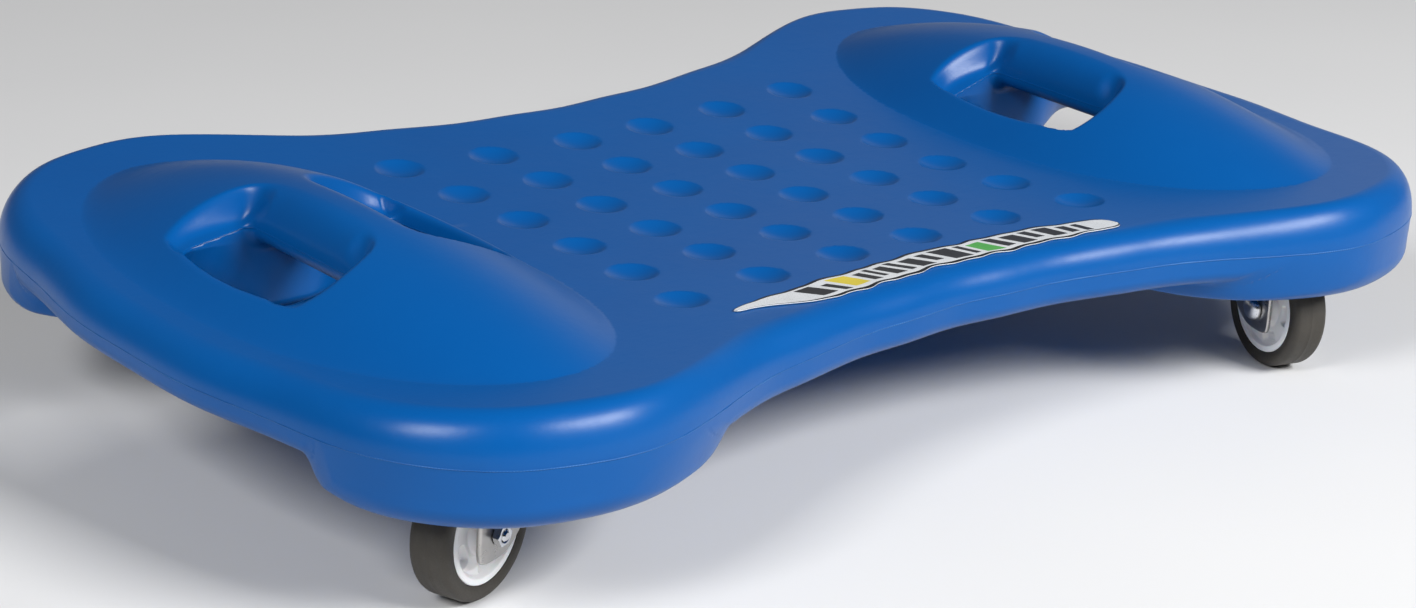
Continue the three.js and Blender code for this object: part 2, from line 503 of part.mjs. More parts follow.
  board = board.subtract(hollow);
  // blow-pin hole in the belly, and the screw holes in the recess ceilings
  board = board.subtract(toSolid(moved(upright(4, 4, 14, 12), -70, 0, BELLY_Z - 6)));
  for (const [, sx, sy] of CASTERS) {
    for (const [dx, dy] of SCREWS) board = board.subtract(toSolid(moved(upright(2.5, 2.5, 8, 8), sx * CAST_X + dx, sy * CAST_Y + dy, RECESS_TOP - 2)));
  }
  return board;
}

// ---------------------------------------------------------------- label strip
function makeLabel() {
  const nx = 20, ny = 2, T0 = 9.2, T1 = 28.8, LIFT = 0.3, THICK = 0.35;
  const V = [], F = [], row = ny + 1;
  const spine = outlinePoints(720).filter((p) => p[1] < 0 && Math.abs(p[0]) < 93.5).sort((a, b) => a[0] - b[0]);
  for (let side = 0; side < 2; side++) {
    for (let i = 0; i <= nx; i++) {
      const p = spine[Math.round(i / nx * (spine.length - 1))];
      const e = Math.abs(2 * i / nx - 1), half = (T1 - T0) / 2 * Math.sqrt(Math.max(0.06, 1 - Math.max(0, (e - 0.9) / 0.1) ** 2));
      for (let j = 0; j <= ny; j++) {
        const t = (T0 + T1) / 2 + half * (2 * j / ny - 1);
        const x = p[0] - p[2] * t, y = p[1] - p[3] * t;
        V.push([x, y, topZ(x, y) + LIFT + (side ? 0 : THICK) + (t < RIM_IN ? 0.2 : 0)]);
      }
    }
  }
  const id = (s, i, j) => s * (nx + 1) * row + i * row + j;
  const quad = (a, b, c, d) => F.push([a, b, c], [a, c, d]);
  for (let i = 0; i < nx; i++) for (let j = 0; j < ny; j++) {
    quad(id(0, i, j), id(0, i + 1, j), id(0, i + 1, j + 1), id(0, i, j + 1));
    quad(id(1, i, j), id(1, i, j + 1), id(1, i + 1, j + 1), id(1, i + 1, j));
  }
  for (let i = 0; i < nx; i++) {
    quad(id(1, i, 0), id(1, i + 1, 0), id(0, i + 1, 0), id(0, i, 0));
    quad(id(0, i, ny), id(0, i + 1, ny), id(1, i + 1, ny), id(1, i, ny));
  }
  for (let j = 0; j < ny; j++) {
    quad(id(0, 0, j), id(0, 0, j + 1), id(1, 0, j + 1), id(1, 0, j));
    quad(id(1, nx, j), id(1, nx, j + 1), id(0, nx, j + 1), id(0, nx, j));
  }
  const g = new THREE.BufferGeometry();
  g.setAttribute('position', new THREE.BufferAttribute(new Float32Array(V.flat()), 3));
  g.setIndex(F.flat());
  return g;
}

// ---------------------------------------------------------------- casters
const SCREWS = [[-22, -16], [-22, 16], [22, -16], [22, 16]];
const PLATE_Z = 63.5, PLATE_T = 2.2, CROWN_Z = 54.0, CROWN_T = 2.2;
const FORK_GAP = 9.4, FORK_T = 2.0;

function plateSolid() {
  const w = 29, h = 23, r = 5, pts = [];
  for (const [cx, cy, a0] of [[w - r, -h + r, -90], [w - r, h - r, 0], [-w + r, h - r, 90], [-w + r, -h + r, 180]]) {
    for (let k = 0; k <= 2; k++) pts.push([cx + r * Math.cos((a0 + 45 * k) * DEG), cy + r * Math.sin((a0 + 45 * k) * DEG)]);
  }
  let s = toSolid(prism(pts, PLATE_Z, PLATE_Z + PLATE_T));
  s = s.add(toSolid(moved(upright(18, 20, 3.6, 16), 0, 0, PLATE_Z - 3.4)));
  s = s.subtract(toSolid(moved(upright(15.8, 15.8, 4, 16), 0, 0, PLATE_Z - 4.4)));
  s = s.subtract(toSolid(moved(upright(4.3, 4.3, 12, 12), 0, 0, PLATE_Z - 6)));
  for (const [x, y] of SCREWS) s = s.subtract(toSolid(moved(upright(2.5, 2.5, 6, 8), x, y, PLATE_Z - 2)));
  return s;
}
function forkSolid() { // swivel axis at the origin, wheel behind it on -X
  const ax = -TRAIL;
  let s = toSolid(moved(upright(18.5, 18.5, CROWN_T, 24), 0, 0, CROWN_Z));
  const bw = FORK_GAP + FORK_T;
  s = s.add(toSolid(new THREE.BoxGeometry(37.7, 2 * bw, CROWN_T).translate(-10.25, 0, CROWN_Z + CROWN_T / 2)));
  const leg = [[27.5, CROWN_Z + 0.9 - AXLE_Z], [21, 7], [13.4, -3.4], [6.8, -8.3], [3.5, -9.4], [-7.8, -9.3], [-9.4, -8.6], [-10.2, -7], [-10.2, CROWN_Z + 0.9 - AXLE_Z]]
    .map(([x, z]) => [x + ax, z + AXLE_Z]);
  for (const side of [-1, 1]) {
    const g = new THREE.ExtrudeGeometry(new THREE.Shape(leg.map(([x, z]) => new THREE.Vector2(x, z))), { depth: FORK_T, bevelEnabled: false })
      .rotateX(Math.PI / 2).translate(0, FORK_T, 0);
    s = s.add(toSolid(g.translate(0, side > 0 ? FORK_GAP : -FORK_GAP - FORK_T, 0)));
  }
  s = s.subtract(toSolid(new THREE.CylinderGeometry(3.3, 3.3, 60, 14).translate(ax, 0, AXLE_Z)));
  s = s.subtract(toSolid(moved(upright(4.3, 4.3, 8, 12), 0, 0, CROWN_Z - 3)));
  return s;
}
// pieces turned about the axle: profile in [radius, offset along the axle]
function axleLathe(profile, n, start = 0) {
  return new THREE.LatheGeometry(profile.map(([r, y]) => new THREE.Vector2(r, y)), n).rotateY(start).translate(-TRAIL, 0, AXLE_Z);
}
const hw = WHEEL_W / 2;
const TYRE_N = 30;              // sides of the faceted tyre; it stands on a flat, so its corners reach past the true radius
const TR = WHEEL_R / Math.cos(Math.PI / TYRE_N);
const TYRE_PROFILE = [[RIM_R + 0.3, -hw + 0.6], [TR - 2.4, -hw], [TR, -hw + 2.4], [TR, hw - 2.4], [TR - 2.4, hw], [RIM_R + 0.3, hw - 0.6], [RIM_R + 0.3, -hw + 0.6]];
const HUB_PROFILE = [[5.3, -8.9], [8, -8.9], [9, -5.2], [15.6, -5.2], [16.6, -7.2], [RIM_R, -7.2], [RIM_R, 7.2], [16.6, 7.2], [15.6, 5.2], [9, 5.2], [8, 8.9], [5.3, 8.9], [5.3, -8.9]];
const BUSH_PROFILE = [[3.3, -9.1], [5.0, -9.1], [5.0, 9.1], [3.3, 9.1], [3.3, -9.1]];
const BOLT_PROFILE = [[0, 15.2], [3.6, 14.8], [5.4, 13.2], [5.4, 11.7], [3.0, 11.7], [3.0, -11.5], [2.0, -11.5], [2.0, -15.3], [0, -15.3]];
const RACE_PROFILE = [[10.4, 57.0], [12.9, 56.5], [15.4, 57.0], [15.4, 61.0], [12.9, 61.8], [10.4, 61.0], [10.4, 57.0]];
const KINGPIN_PROFILE = [[0, 51.9], [5.4, 51.9], [6.6, 52.8], [6.6, 53.7], [4.0, 53.7], [4.0, 65.4], [0, 65.4]];
const SCREW_PROFILE = [[0, 60.9], [2.6, 60.9], [4.2, 62.1], [4.2, 63.2], [2.1, 63.2], [2.1, 72.0], [0, 73.2]];
function turned(profile, n) { // [radius, z] turned about Z, closed on the axis or on itself
  const g = new THREE.LatheGeometry(profile.map(([r, z]) => new THREE.Vector2(r, z)), n);
  return g.applyMatrix4(new THREE.Matrix4().makeRotationX(Math.PI / 2));
}
function nutGeometry() {
  const shape = new THREE.Shape();
  for (let k = 0; k <= 6; k++) shape[k ? 'lineTo' : 'moveTo'](4.1 * Math.cos(k * 60 * DEG), 4.1 * Math.sin(k * 60 * DEG));
  const hole = new THREE.Path();
  for (let k = 0; k <= 10; k++) hole[k ? 'lineTo' : 'moveTo'](2.3 * Math.cos(-k * 36 * DEG), 2.3 * Math.sin(-k * 36 * DEG));
  shape.holes.push(hole);
  return new THREE.ExtrudeGeometry(shape, { depth: 2.9, bevelEnabled: false }).rotateX(-Math.PI / 2).translate(-TRAIL, -14.6, AXLE_Z);
}

// make every closed geometry face outwards
function outward(geometry) {
  let g = geometry.clone();
  g.deleteAttribute('normal');
  g.deleteAttribute('uv');
  g = mergeVertices(g, 1e-4);
  const idx = Array.from(g.index.array), p = g.attributes.position;
  const keep = [];
  for (let i = 0; i < idx.length; i += 3) if (idx[i] !== idx[i + 1] && idx[i + 1] !== idx[i + 2] && idx[i] !== idx[i + 2]) keep.push(idx[i], idx[i + 1], idx[i + 2]);
  let vol = 0;
  for (let i = 0; i < keep.length; i += 3) {
    const [a, b, c] = [keep[i], keep[i + 1], keep[i + 2]].map((k) => new THREE.Vector3().fromBufferAttribute(p, k));
    vol += a.dot(b.cross(c));
  }
  if (vol < 0) for (let i = 0; i < keep.length; i += 3) [keep[i + 1], keep[i + 2]] = [keep[i + 2], keep[i + 1]];
  g.setIndex(keep);
  g.computeVertexNormals();
  return g;
}

// ---------------------------------------------------------------- assembly
const root = new THREE.Group();
function piece(name, geometry, material, parent = root) {
  const m = new THREE.Mesh(geometry, material);
  m.name = name;
  parent.add(m);
  return m;
}

piece('board_body', toGeometry(makeBoard()), mat(BLUE, 0.42, 0));
piece('label_strip', outward(makeLabel()), mat(PALE, 0.35, 0));

for (const [tag, sx, sy, heading] of CASTERS) {
  const fixed = new THREE.Group();
  fixed.position.set(sx * CAST_X, sy * CAST_Y, 0);
  root.add(fixed);
  piece(`caster_${tag}_plate`, toGeometry(plateSolid()), mat(STEEL, 0.35, 0.9), fixed);
  piece(`caster_${tag}_kingpin`, outward(turned(KINGPIN_PROFILE, 10)), mat(ZINC, 0.35, 0.9), fixed);
  SCREWS.forEach(([dx, dy], k) => {
    const s = piece(`caster_${tag}_screw_${k + 1}`, outward(turned(SCREW_PROFILE, 6)), mat(ZINC, 0.35, 0.9), fixed);
    s.position.set(dx, dy, 0);
  });
  const swivel = new THREE.Group();
  swivel.rotation.z = heading * DEG;
  fixed.add(swivel);
  piece(`caster_${tag}_fork`, toGeometry(forkSolid()), mat(STEEL, 0.32, 0.9), swivel);
  piece(`caster_${tag}_race`, outward(turned(RACE_PROFILE, 12)), mat(STEEL, 0.3, 0.9), swivel);
  piece(`caster_${tag}_bolt`, outward(axleLathe(BOLT_PROFILE, 10)), mat(ZINC, 0.3, 0.9), swivel);
  piece(`caster_${tag}_nut`, outward(nutGeometry()), mat(ZINC, 0.3, 0.9), swivel);
  piece(`caster_${tag}_bush`, outward(axleLathe(BUSH_PROFILE, 10)), mat(STEEL, 0.4, 0.8), swivel);
  piece(`caster_${tag}_hub`, outward(axleLathe(HUB_PROFILE, 18)), mat(HUB, 0.45, 0), swivel);
  piece(`caster_${tag}_tyre`, outward(axleLathe(TYRE_PROFILE, TYRE_N, Math.PI / TYRE_N)), mat(TYRE, 0.75, 0), swivel);
}

export default root;
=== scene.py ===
# Scooter board: fine surfaces, materials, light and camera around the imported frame.
import math
import bpy
import numpy as np
from mathutils import Matrix, Vector


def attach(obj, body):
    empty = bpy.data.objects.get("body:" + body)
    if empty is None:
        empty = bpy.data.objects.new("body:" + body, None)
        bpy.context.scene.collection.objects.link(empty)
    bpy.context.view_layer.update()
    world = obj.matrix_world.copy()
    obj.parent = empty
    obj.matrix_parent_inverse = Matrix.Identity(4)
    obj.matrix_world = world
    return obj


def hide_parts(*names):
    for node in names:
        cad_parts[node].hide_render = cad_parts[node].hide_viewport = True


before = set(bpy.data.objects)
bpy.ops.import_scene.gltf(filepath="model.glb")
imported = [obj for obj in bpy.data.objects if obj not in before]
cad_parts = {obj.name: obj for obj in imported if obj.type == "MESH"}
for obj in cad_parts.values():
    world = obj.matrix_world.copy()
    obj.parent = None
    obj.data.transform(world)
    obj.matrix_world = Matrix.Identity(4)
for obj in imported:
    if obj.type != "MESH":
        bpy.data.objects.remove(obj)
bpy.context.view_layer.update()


# ------------------------------------------------------------------ dimensions (mm)
DECK_Z, PART_Z = 72.8, 64.9
DISH_X, DISH_Y = 5.58e-5, 3.194e-4
RIM_IN = 12.3
OUT_A = np.radians([0, 8, 16, 22, 27, 31, 35, 39, 44, 50, 58, 68, 79, 90])
OUT_R = np.array([276.6, 278.1, 279.7, 284.7, 286.0, 282.9, 275.7, 263.1, 240.5, 194.9, 161.8, 140.6, 130.8, 126.5])
MOUND_X, MOUND_A, MOUND_B, MOUND_H = 190.0, 67.0, 132.0, 29.0
SLOT_IN, SLOT_OUT, SLOT_HALF, SLOT_BOW = 15.5, 47.0, 34.0, 4.0
BAR_CORNER, LIP_CORNER = 4.5, 7.0
LIP_Z, LIP_IN_Z, GRIP_Z, GRIP_BOT = DECK_Z + 9.5, DECK_Z + 5.2, DECK_Z + 14.5, DECK_Z + 8.0
GRIP_ROUND, LIP_ROUND = 13.0, 4.5
HEART_U, HEART_V, BOWL_R = 34.0, 17.0, 31.0
POCKET_U, POCKET_V, POCKET_FLARE, POCKET_CORNER = 61.5, 31.2, 19.0, 12.0
BELLY_Z, END_Z, POD_Z = 53.5, 55.8, 41.9
POD_X, POD_Y, POD_A, POD_B, POD_TURN = 188.3, 109.0, 79.7, 60.2, math.radians(13.9)
RECESS_R, RECESS_TOP = 48.0, 66.0
CAST_X, CAST_Y, TRAIL = 194.0, 106.3, 18.9
AXLE_Z, WHEEL_R, WHEEL_W, HUB_R = 25.2, 25.2, 15.8, 19.3
CASTERS = [("fl", -1, -1, 18.6), ("fr", 1, -1, 74.4), ("rl", -1, 1, 196.0), ("rr", 1, 1, 142.0)]
SCREWS = [(-22, -16), (-22, 16), (22, -16), (22, 16)]
DIMPLES = [(102.7, 88.0), (60.2, 83.3), (19.0, 81.3), (97.0, 52.3), (58.1, 50.0), (19.0, 48.6), (94.3, 17.6), (57.1, 16.7), (19.0, 16.2)]
DIMPLE_R, DIMPLE_D, DIMPLE_SOFT = 9.9, 2.4, 0.14
VOXEL = 1.15
MM = 0.001


# ------------------------------------------------------------------ outline
def outline_slopes():
    n = len(OUT_A)
    A = np.zeros((n, n))
    d = np.zeros(n)
    A[0, 0] = A[-1, -1] = 1
    for i in range(1, n - 1):
        h0, h1 = OUT_A[i] - OUT_A[i - 1], OUT_A[i + 1] - OUT_A[i]
        A[i, i - 1], A[i, i], A[i, i + 1] = 1 / h0, 2 / h0 + 2 / h1, 1 / h1
        d[i] = 3 * ((OUT_R[i] - OUT_R[i - 1]) / h0**2 + (OUT_R[i + 1] - OUT_R[i]) / h1**2)
    return np.linalg.solve(A, d)


OUT_M = outline_slopes()


def radius_at(theta):
    i = np.clip(np.searchsorted(OUT_A, theta, side="right") - 1, 0, len(OUT_A) - 2)
    h = OUT_A[i + 1] - OUT_A[i]
    t = np.clip((theta - OUT_A[i]) / h, 0, 1)
    y0, y1, m0, m1 = OUT_R[i], OUT_R[i + 1], OUT_M[i] * h, OUT_M[i + 1] * h
    t2, t3 = t * t, t * t * t
    r = y0 * (2 * t3 - 3 * t2 + 1) + m0 * (t3 - 2 * t2 + t) + y1 * (3 * t2 - 2 * t3) + m1 * (t3 - t2)
    dr = (y0 * (6 * t2 - 6 * t) + m0 * (3 * t2 - 4 * t + 1) + y1 * (6 * t - 6 * t2) + m1 * (3 * t2 - 2 * t)) / h
    return r, dr


def inset(x, y):
    r, dr = radius_at(np.arctan2(np.abs(y), np.abs(x)))
    return (r - np.hypot(x, y)) / np.sqrt(1 + (dr / r) ** 2)


def outline_points(n):
    """n points evenly spaced along the outline, with outward normals."""
    th = np.linspace(0, 2 * np.pi, 7201)
    f = np.arctan2(np.abs(np.sin(th)), np.abs(np.cos(th)))
    r, _ = radius_at(f)
    p = np.stack([r * np.cos(th), r * np.sin(th)], 1)
    s = np.concatenate([[0], np.cumsum(np.hypot(*np.diff(p, axis=0).T))])
    q = np.linspace(0, s[-1], n, endpoint=False)
    pts = np.stack([np.interp(q, s, p[:, k]) for k in (0, 1)], 1)
    e = 0.8
    a = np.stack([np.interp((q - e) % s[-1], s, p[:, k]) for k in (0, 1)], 1)
    b = np.stack([np.interp((q + e) % s[-1], s, p[:, k]) for k in (0, 1)], 1)
    d = b - a
    d /= np.hypot(d[:, 0], d[:, 1])[:, None]
    return pts, np.stack([d[:, 1], -d[:, 0]], 1), q


# ------------------------------------------------------------------ board surfaces
def smooth(t):
    t = np.clip(t, 0, 1)
    return t * t * (3 - 2 * t)


def deck(x, y):
    return DECK_Z + DISH_X * x * x + DISH_Y * y * y


def mound(x, y):
    u, v = np.abs(x) - MOUND_X, np.abs(y) / MOUND_B
    w = MOUND_A * np.sqrt(np.clip(1 - v**2.4, 0, 1)) + 1e-6
    t = np.abs(u) / w
    return MOUND_H * np.clip(1 - v * v, 0, None) * np.clip(1 - t * t, 0, None) ** np.where(u > 0, 1.45, 1.15)


def slot_edge(v):
    return SLOT_OUT - 2 + np.clip(SLOT_BOW * (1 - (v / SLOT_HALF) ** 2), -6, SLOT_BOW)


def lip_height(x):
    """Height of the parting edge on the lip of a hand slot: lower on the inner slots."""
    return LIP_IN_Z + (LIP_Z - LIP_IN_Z) * smooth((np.abs(x) - MOUND_X + 15) / 30)


def bowl_table():
    """Rise across a slot's end bowl, 0 to 1: shallow at the slot, steep two thirds of the way out, level where it meets the mound."""
    t = np.linspace(0, 1, 801)
    hump = t**6 * (1 - t) ** 4
    rise = 0.30 * (1 - t) + hump * 0.85 * len(t) / hump.sum()
    total = np.concatenate([[0], np.cumsum((rise[1:] + rise[:-1]) / 2 * np.diff(t))])
    return t, total / total[-1]


BOWL_T, BOWL_B = bowl_table()


def bowl(x, y):
    """Position across the sunk border of a hand slot (0 at the slot, 1 at the mound), how far it is an end bowl, and the offset from the grip."""
    u, v = np.abs(np.abs(x) - MOUND_X), np.abs(y)
    du, dv = HEART_U - u, np.maximum(v - HEART_V, 0)
    r = np.hypot(du, dv) + 1e-9
    c, s = du / r, dv / r
    side = np.where(du > 0, HEART_U - SLOT_IN, slot_edge(v) - HEART_U)
    corner = np.where(du > 0, BAR_CORNER, LIP_CORNER)
    end = SLOT_HALF - HEART_V
    a, b = np.abs(c), s
    near = np.minimum(side / np.maximum(a, 1e-9), end / np.maximum(b, 1e-9))
    kx, ky = side - corner, end - corner
    m = a * kx + b * ky
    turn = np.maximum(m * m - (kx * kx + ky * ky - corner * corner), 0)
    near = np.where((near * a > kx) & (near * b > ky), m + np.sqrt(turn), near)
    far = np.where(du > 0, side + GRIP_ROUND, side + LIP_ROUND) / np.maximum(a, 1e-9)
    out, k = np.minimum(BOWL_R, far), 3.0
    out = np.where(np.abs(far - BOWL_R) < k, out - (k - np.abs(far - BOWL_R)) ** 2 / (4 * k), out)
    phi = np.degrees(np.arctan2(s, c))
    out = out + 2.0 * np.exp(-((phi - 42) / 22) ** 2)
    w = smooth((phi - 18) / 36) * (1 - smooth((phi - 116) / 30))
    return (r - near) / np.maximum(out - near, 0.5), w, u


def crown_height(x, y):
    """Top surface before its rim is rolled: deck, mound, slot borders and dimples."""
    z = deck(x, y) + mound(x, y)
    q, w, u = bowl(x, y)
    zf = GRIP_Z + (lip_height(x) - GRIP_Z) * np.clip((u - SLOT_IN) / (SLOT_OUT - SLOT_IN), 0, 1)
    t = np.clip(q, 0, 1)
    rise = (1 - w) * np.sqrt(1 - (1 - t) ** 2) + w * np.interp(t, BOWL_T, BOWL_B)
    zz = zf + (np.maximum(z, zf) - zf) * rise
    z = np.where(q <= 0, zf, np.where(q < 1, np.minimum(z, zz), z))
    ax, ay = np.abs(x), np.abs(y)
    for cx, cy in DIMPLES:
        s = -DIMPLE_D * (1 - ((ax - cx) ** 2 + (ay - cy) ** 2) / DIMPLE_R**2)
        z = z + 0.5 * (s - np.sqrt(s * s + DIMPLE_SOFT**2)) * (s < 6)
    return z


def pod_level(x, y):
    dx, dy = np.abs(x) - POD_X, np.abs(y) - POD_Y
    c, s = math.cos(POD_TURN), math.sin(POD_TURN)
    u, v = dx * c + dy * s, -dx * s + dy * c
    r = np.hypot(u / POD_A, v / POD_B)
    return (r - 1) * np.hypot(u, v) / np.maximum(r, 1e-6)


def under_height(x, y):
    thin = BELLY_Z + (END_Z - BELLY_Z) * smooth((np.abs(x) - 215) / 45)
    level = pod_level(x, y)
    far = np.clip((1.5 - level) / 18, 0, 1)
    return thin + (POD_Z - thin) * (0.62 * smooth((4.5 - level) / 7) + 0.38 * (1 - (1 - far) ** 2))


def round_and(a, b, r):
    """Both solids, with the edge between them rounded to r (positive inside)."""
    return np.where((a < r) & (b < r), r - np.hypot(np.maximum(r - a, 0), np.maximum(r - b, 0)), np.minimum(a, b))


def round_or(a, b, r):
    """Either solid, with the corner between them filled to r (positive inside)."""
    return np.hypot(np.maximum(r + a, 0), np.maximum(r + b, 0)) - np.maximum(r, np.minimum(-a, -b))


def plan(x, y):
    """Everything about the board that depends on the plan position only."""
    e = 0.25
    zt = crown_height(x, y)
    gx = (crown_height(x + e, y) - crown_height(x - e, y)) / (2 * e)
    gy = (crown_height(x, y + e) - crown_height(x, y - e)) / (2 * e)
    zb = under_height(x, y)
    hx = (under_height(x + e, y) - under_height(x - e, y)) / (2 * e)
    hy = (under_height(x, y + e) - under_height(x, y - e)) / (2 * e)
    u, v = np.abs(np.abs(x) - MOUND_X), np.abs(y)
    recess = np.hypot(np.abs(x) - CAST_X, np.abs(y) - CAST_Y) - RECESS_R
    screw = np.full(np.shape(x), 1e3)
    for _, sx, sy, _h in CASTERS:
        for dx, dy in SCREWS:
            screw = np.minimum(screw, np.hypot(x - sx * CAST_X - dx, y - sy * CAST_Y - dy) - 2.5)
    return dict(t=inset(x, y), zt=zt, st=np.sqrt(1 + gx * gx + gy * gy), zb=zb, sb=np.sqrt(1 + hx * hx + hy * hy),
                u=u, v=v, lip=lip_height(x), edge=slot_edge(v), flare=POCKET_V + POCKET_FLARE * smooth((u - 7) / 43), recess=recess, screw=screw, pin=np.hypot(x + 70, y) - 4.0)


def pocket_gap(q, z):
    """About the distance outside the pocket under a grip, whose walls flare out downwards."""
    k = np.clip((q["lip"] - z) / (q["lip"] - LIP_Z + 28.5), 0, 1)
    c = LIP_CORNER + (POCKET_CORNER - LIP_CORNER) * k
    a = q["u"] - (q["edge"] + k * (POCKET_U - q["edge"])) + c
    b = q["v"] - (SLOT_HALF + k * (q["flare"] - SLOT_HALF)) + c
    return np.minimum(np.maximum(a, b), 0) + np.hypot(np.maximum(a, 0), np.maximum(b, 0)) - c


def solid(q, z):
    """About the distance inside the moulding, in mm: positive inside."""
    t, zt = q["t"], q["zt"]
    top = (zt - z) / q["st"]
    w = np.maximum(z - PART_Z, 0)
    b = np.maximum(zt - PART_Z, 4.0)
    k = np.maximum(RIM_IN - t, 0)
    F = np.hypot(k / RIM_IN, w / b)
    G = np.hypot(k / RIM_IN**2, w / b**2)
    rim = (1 - F) * F / np.maximum(G, 1e-4)
    up = np.where(t < RIM_IN, np.minimum(rim, RIM_IN), top)
    under = (z - q["zb"]) / q["sb"]
    side = t - 0.5 * np.clip((PART_Z - z) / 12, 0, 1)
    rb = 6 + 2 * np.clip((50 - q["zb"]) / 8, 0, 1)
    low = round_and(side, under, rb)
    body = np.where(z >= PART_Z, np.minimum(up, under), low)
    # hand slots and the pocket under the grip
    bar = round_and(SLOT_IN - q["u"], z - GRIP_BOT, 6.0)
    hand = round_or(pocket_gap(q, z), bar, BAR_CORNER)
    edge = 0.75 + 3.2 * smooth((70 - z) / 10)
    body = round_and(body, hand, edge)
    # caster recesses, with a rounded mouth
    cut = np.maximum(q["recess"], z - RECESS_TOP)
    cut = np.where((q["recess"] > -3) & (z - RECESS_TOP > -3), cut, np.maximum(q["recess"], z - RECESS_TOP))
    body = round_and(body, cut, 2.2)
    # screw holes and the blow-pin mark
    body = round_and(body, np.maximum(q["screw"], z - RECESS_TOP - 6), 0.5)
    body = round_and(body, np.maximum(q["pin"], z - BELLY_Z - 4), 1.2)
    return body


def solid_at(p):
    return solid(plan(p[:, 0], p[:, 1]), p[:, 2])


def gradient_at(p, e=0.12):
    g = np.zeros_like(p)
    for k in range(3):
        d = np.zeros(3)
        d[k] = e
        g[:, k] = (solid_at(p + d) - solid_at(p - d)) / (2 * e)
    return g


def surface_nets(f, lo, h):
    """Closed quad mesh of the zero level of f, positive inside."""
    s = f > 0
    n = f.shape
    mix = np.zeros(tuple(k - 1 for k in n), np.uint8)
    for i in (0, 1):
        for j in (0, 1):
            for k in (0, 1):
                mix += s[i:n[0] - 1 + i, j:n[1] - 1 + j, k:n[2] - 1 + k]
    active = (mix > 0) & (mix < 8)
    idx = np.argwhere(active)
    cell = np.full(active.shape, -1, np.int64)
    cell[active] = np.arange(len(idx))
    total, count = np.zeros((len(idx), 3)), np.zeros(len(idx))
    corners = [(i, j, k) for i in (0, 1) for j in (0, 1) for k in (0, 1)]
    val = {c: f[idx[:, 0] + c[0], idx[:, 1] + c[1], idx[:, 2] + c[2]] for c in corners}
    for c in corners:
        for axis in range(3):
            if c[axis]:
                continue
            d = list(c)
            d[axis] = 1
            d = tuple(d)
            a, b = val[c], val[d]
            cross = (a > 0) != (b > 0)
            t = np.where(cross, a / np.where(cross, a - b, 1), 0)
            pos = np.zeros((len(idx), 3)) + np.array(c)
            pos[:, axis] += t
            total += np.where(cross[:, None], pos, 0)
            count += cross
    verts = lo + h * (idx + total / count[:, None])
    quads = []
    for axis in range(3):
        o1, o2 = [k for k in range(3) if k != axis]
        a = [slice(None)] * 3
        b = [slice(None)] * 3
        a[axis], b[axis] = slice(0, n[axis] - 1), slice(1, n[axis])
        change = s[tuple(a)] != s[tuple(b)]
        where = np.argwhere(change)
        ok = (where[:, o1] > 0) & (where[:, o2] > 0) & (where[:, o1] < n[o1] - 1) & (where[:, o2] < n[o2] - 1)
        where = where[ok]
        inside_first = s[where[:, 0], where[:, 1], where[:, 2]]
        ring = []
        for d1, d2 in ((-1, -1), (0, -1), (0, 0), (-1, 0)):
            w = where.copy()
            w[:, o1] += d1
            w[:, o2] += d2
            ring.append(cell[w[:, 0], w[:, 1], w[:, 2]])
        ring = np.stack(ring, 1)
        flip = inside_first if axis != 1 else ~inside_first
        ring[~flip] = ring[~flip][:, ::-1]
        quads.append(ring)
    return verts, np.concatenate(quads)


def board_mesh():
    h = VOXEL
    lo = np.array([-281.0, -172.0, 36.0])
    hi = np.array([281.0, 172.0, 107.0])
    n = np.ceil((hi - lo) / h).astype(int) + 1
    xs, ys, zs = (lo[k] + h * np.arange(n[k]) for k in range(3))
    f = np.empty(tuple(n), np.float32)
    Y, step = ys[None, :], 48
    for i in range(0, n[0], step):
        x = xs[i:i + step]
        X = np.repeat(x[:, None], n[1], 1)
        q = plan(X, np.repeat(Y, len(x), 0))
        q = {k: v[..., None] for k, v in q.items()}
        f[i:i + step] = np.clip(solid(q, zs[None, None, :]), -4, 4)
    f[f == 0] = 1e-4
    v, faces = surface_nets(f, lo, h)
    for _ in range(1):
        g = gradient_at(v)
        d = solid_at(v)
        m = np.maximum((g * g).sum(1), 0.2)
        v = v - np.clip(d / m, -0.8, 0.8)[:, None] * g
    g = gradient_at(v)
    nrm = -g / np.maximum(np.linalg.norm(g, axis=1), 1e-6)[:, None]
    a = np.cross(v[faces[:, 2]] - v[faces[:, 0]], v[faces[:, 3]] - v[faces[:, 1]])
    if (np.einsum("ij,ij->i", a, nrm[faces[:, 0]]) < 0).mean() > 0.5:
        faces = faces[:, ::-1]
    return v, faces, nrm


def grid_mesh(v, polys):
    """Blender mesh from arrays; polys is an (n, 3) or (n, 4) index array, v in metres."""
    me = bpy.data.meshes.new("m")
    me.vertices.add(len(v))
    me.vertices.foreach_set("co", np.ascontiguousarray(v, np.float32).ravel())
    k = polys.shape[1]
    me.loops.add(polys.size)
    me.loops.foreach_set("vertex_index", np.ascontiguousarray(polys, np.int32).ravel())
    me.polygons.add(len(polys))
    me.polygons.foreach_set("loop_start", np.arange(0, polys.size, k, dtype=np.int32))
    me.update(calc_edges=True)
    return me


def triangles_of(me):
    me.calc_loop_triangles()
    f = np.empty(len(me.loop_triangles) * 3, np.int32)
    me.loop_triangles.foreach_get("vertices", f)
    v = np.empty(len(me.vertices) * 3, np.float32)
    me.vertices.foreach_get("co", v)
    return v.reshape(-1, 3).astype(np.float64), f.reshape(-1, 3).astype(np.int64)


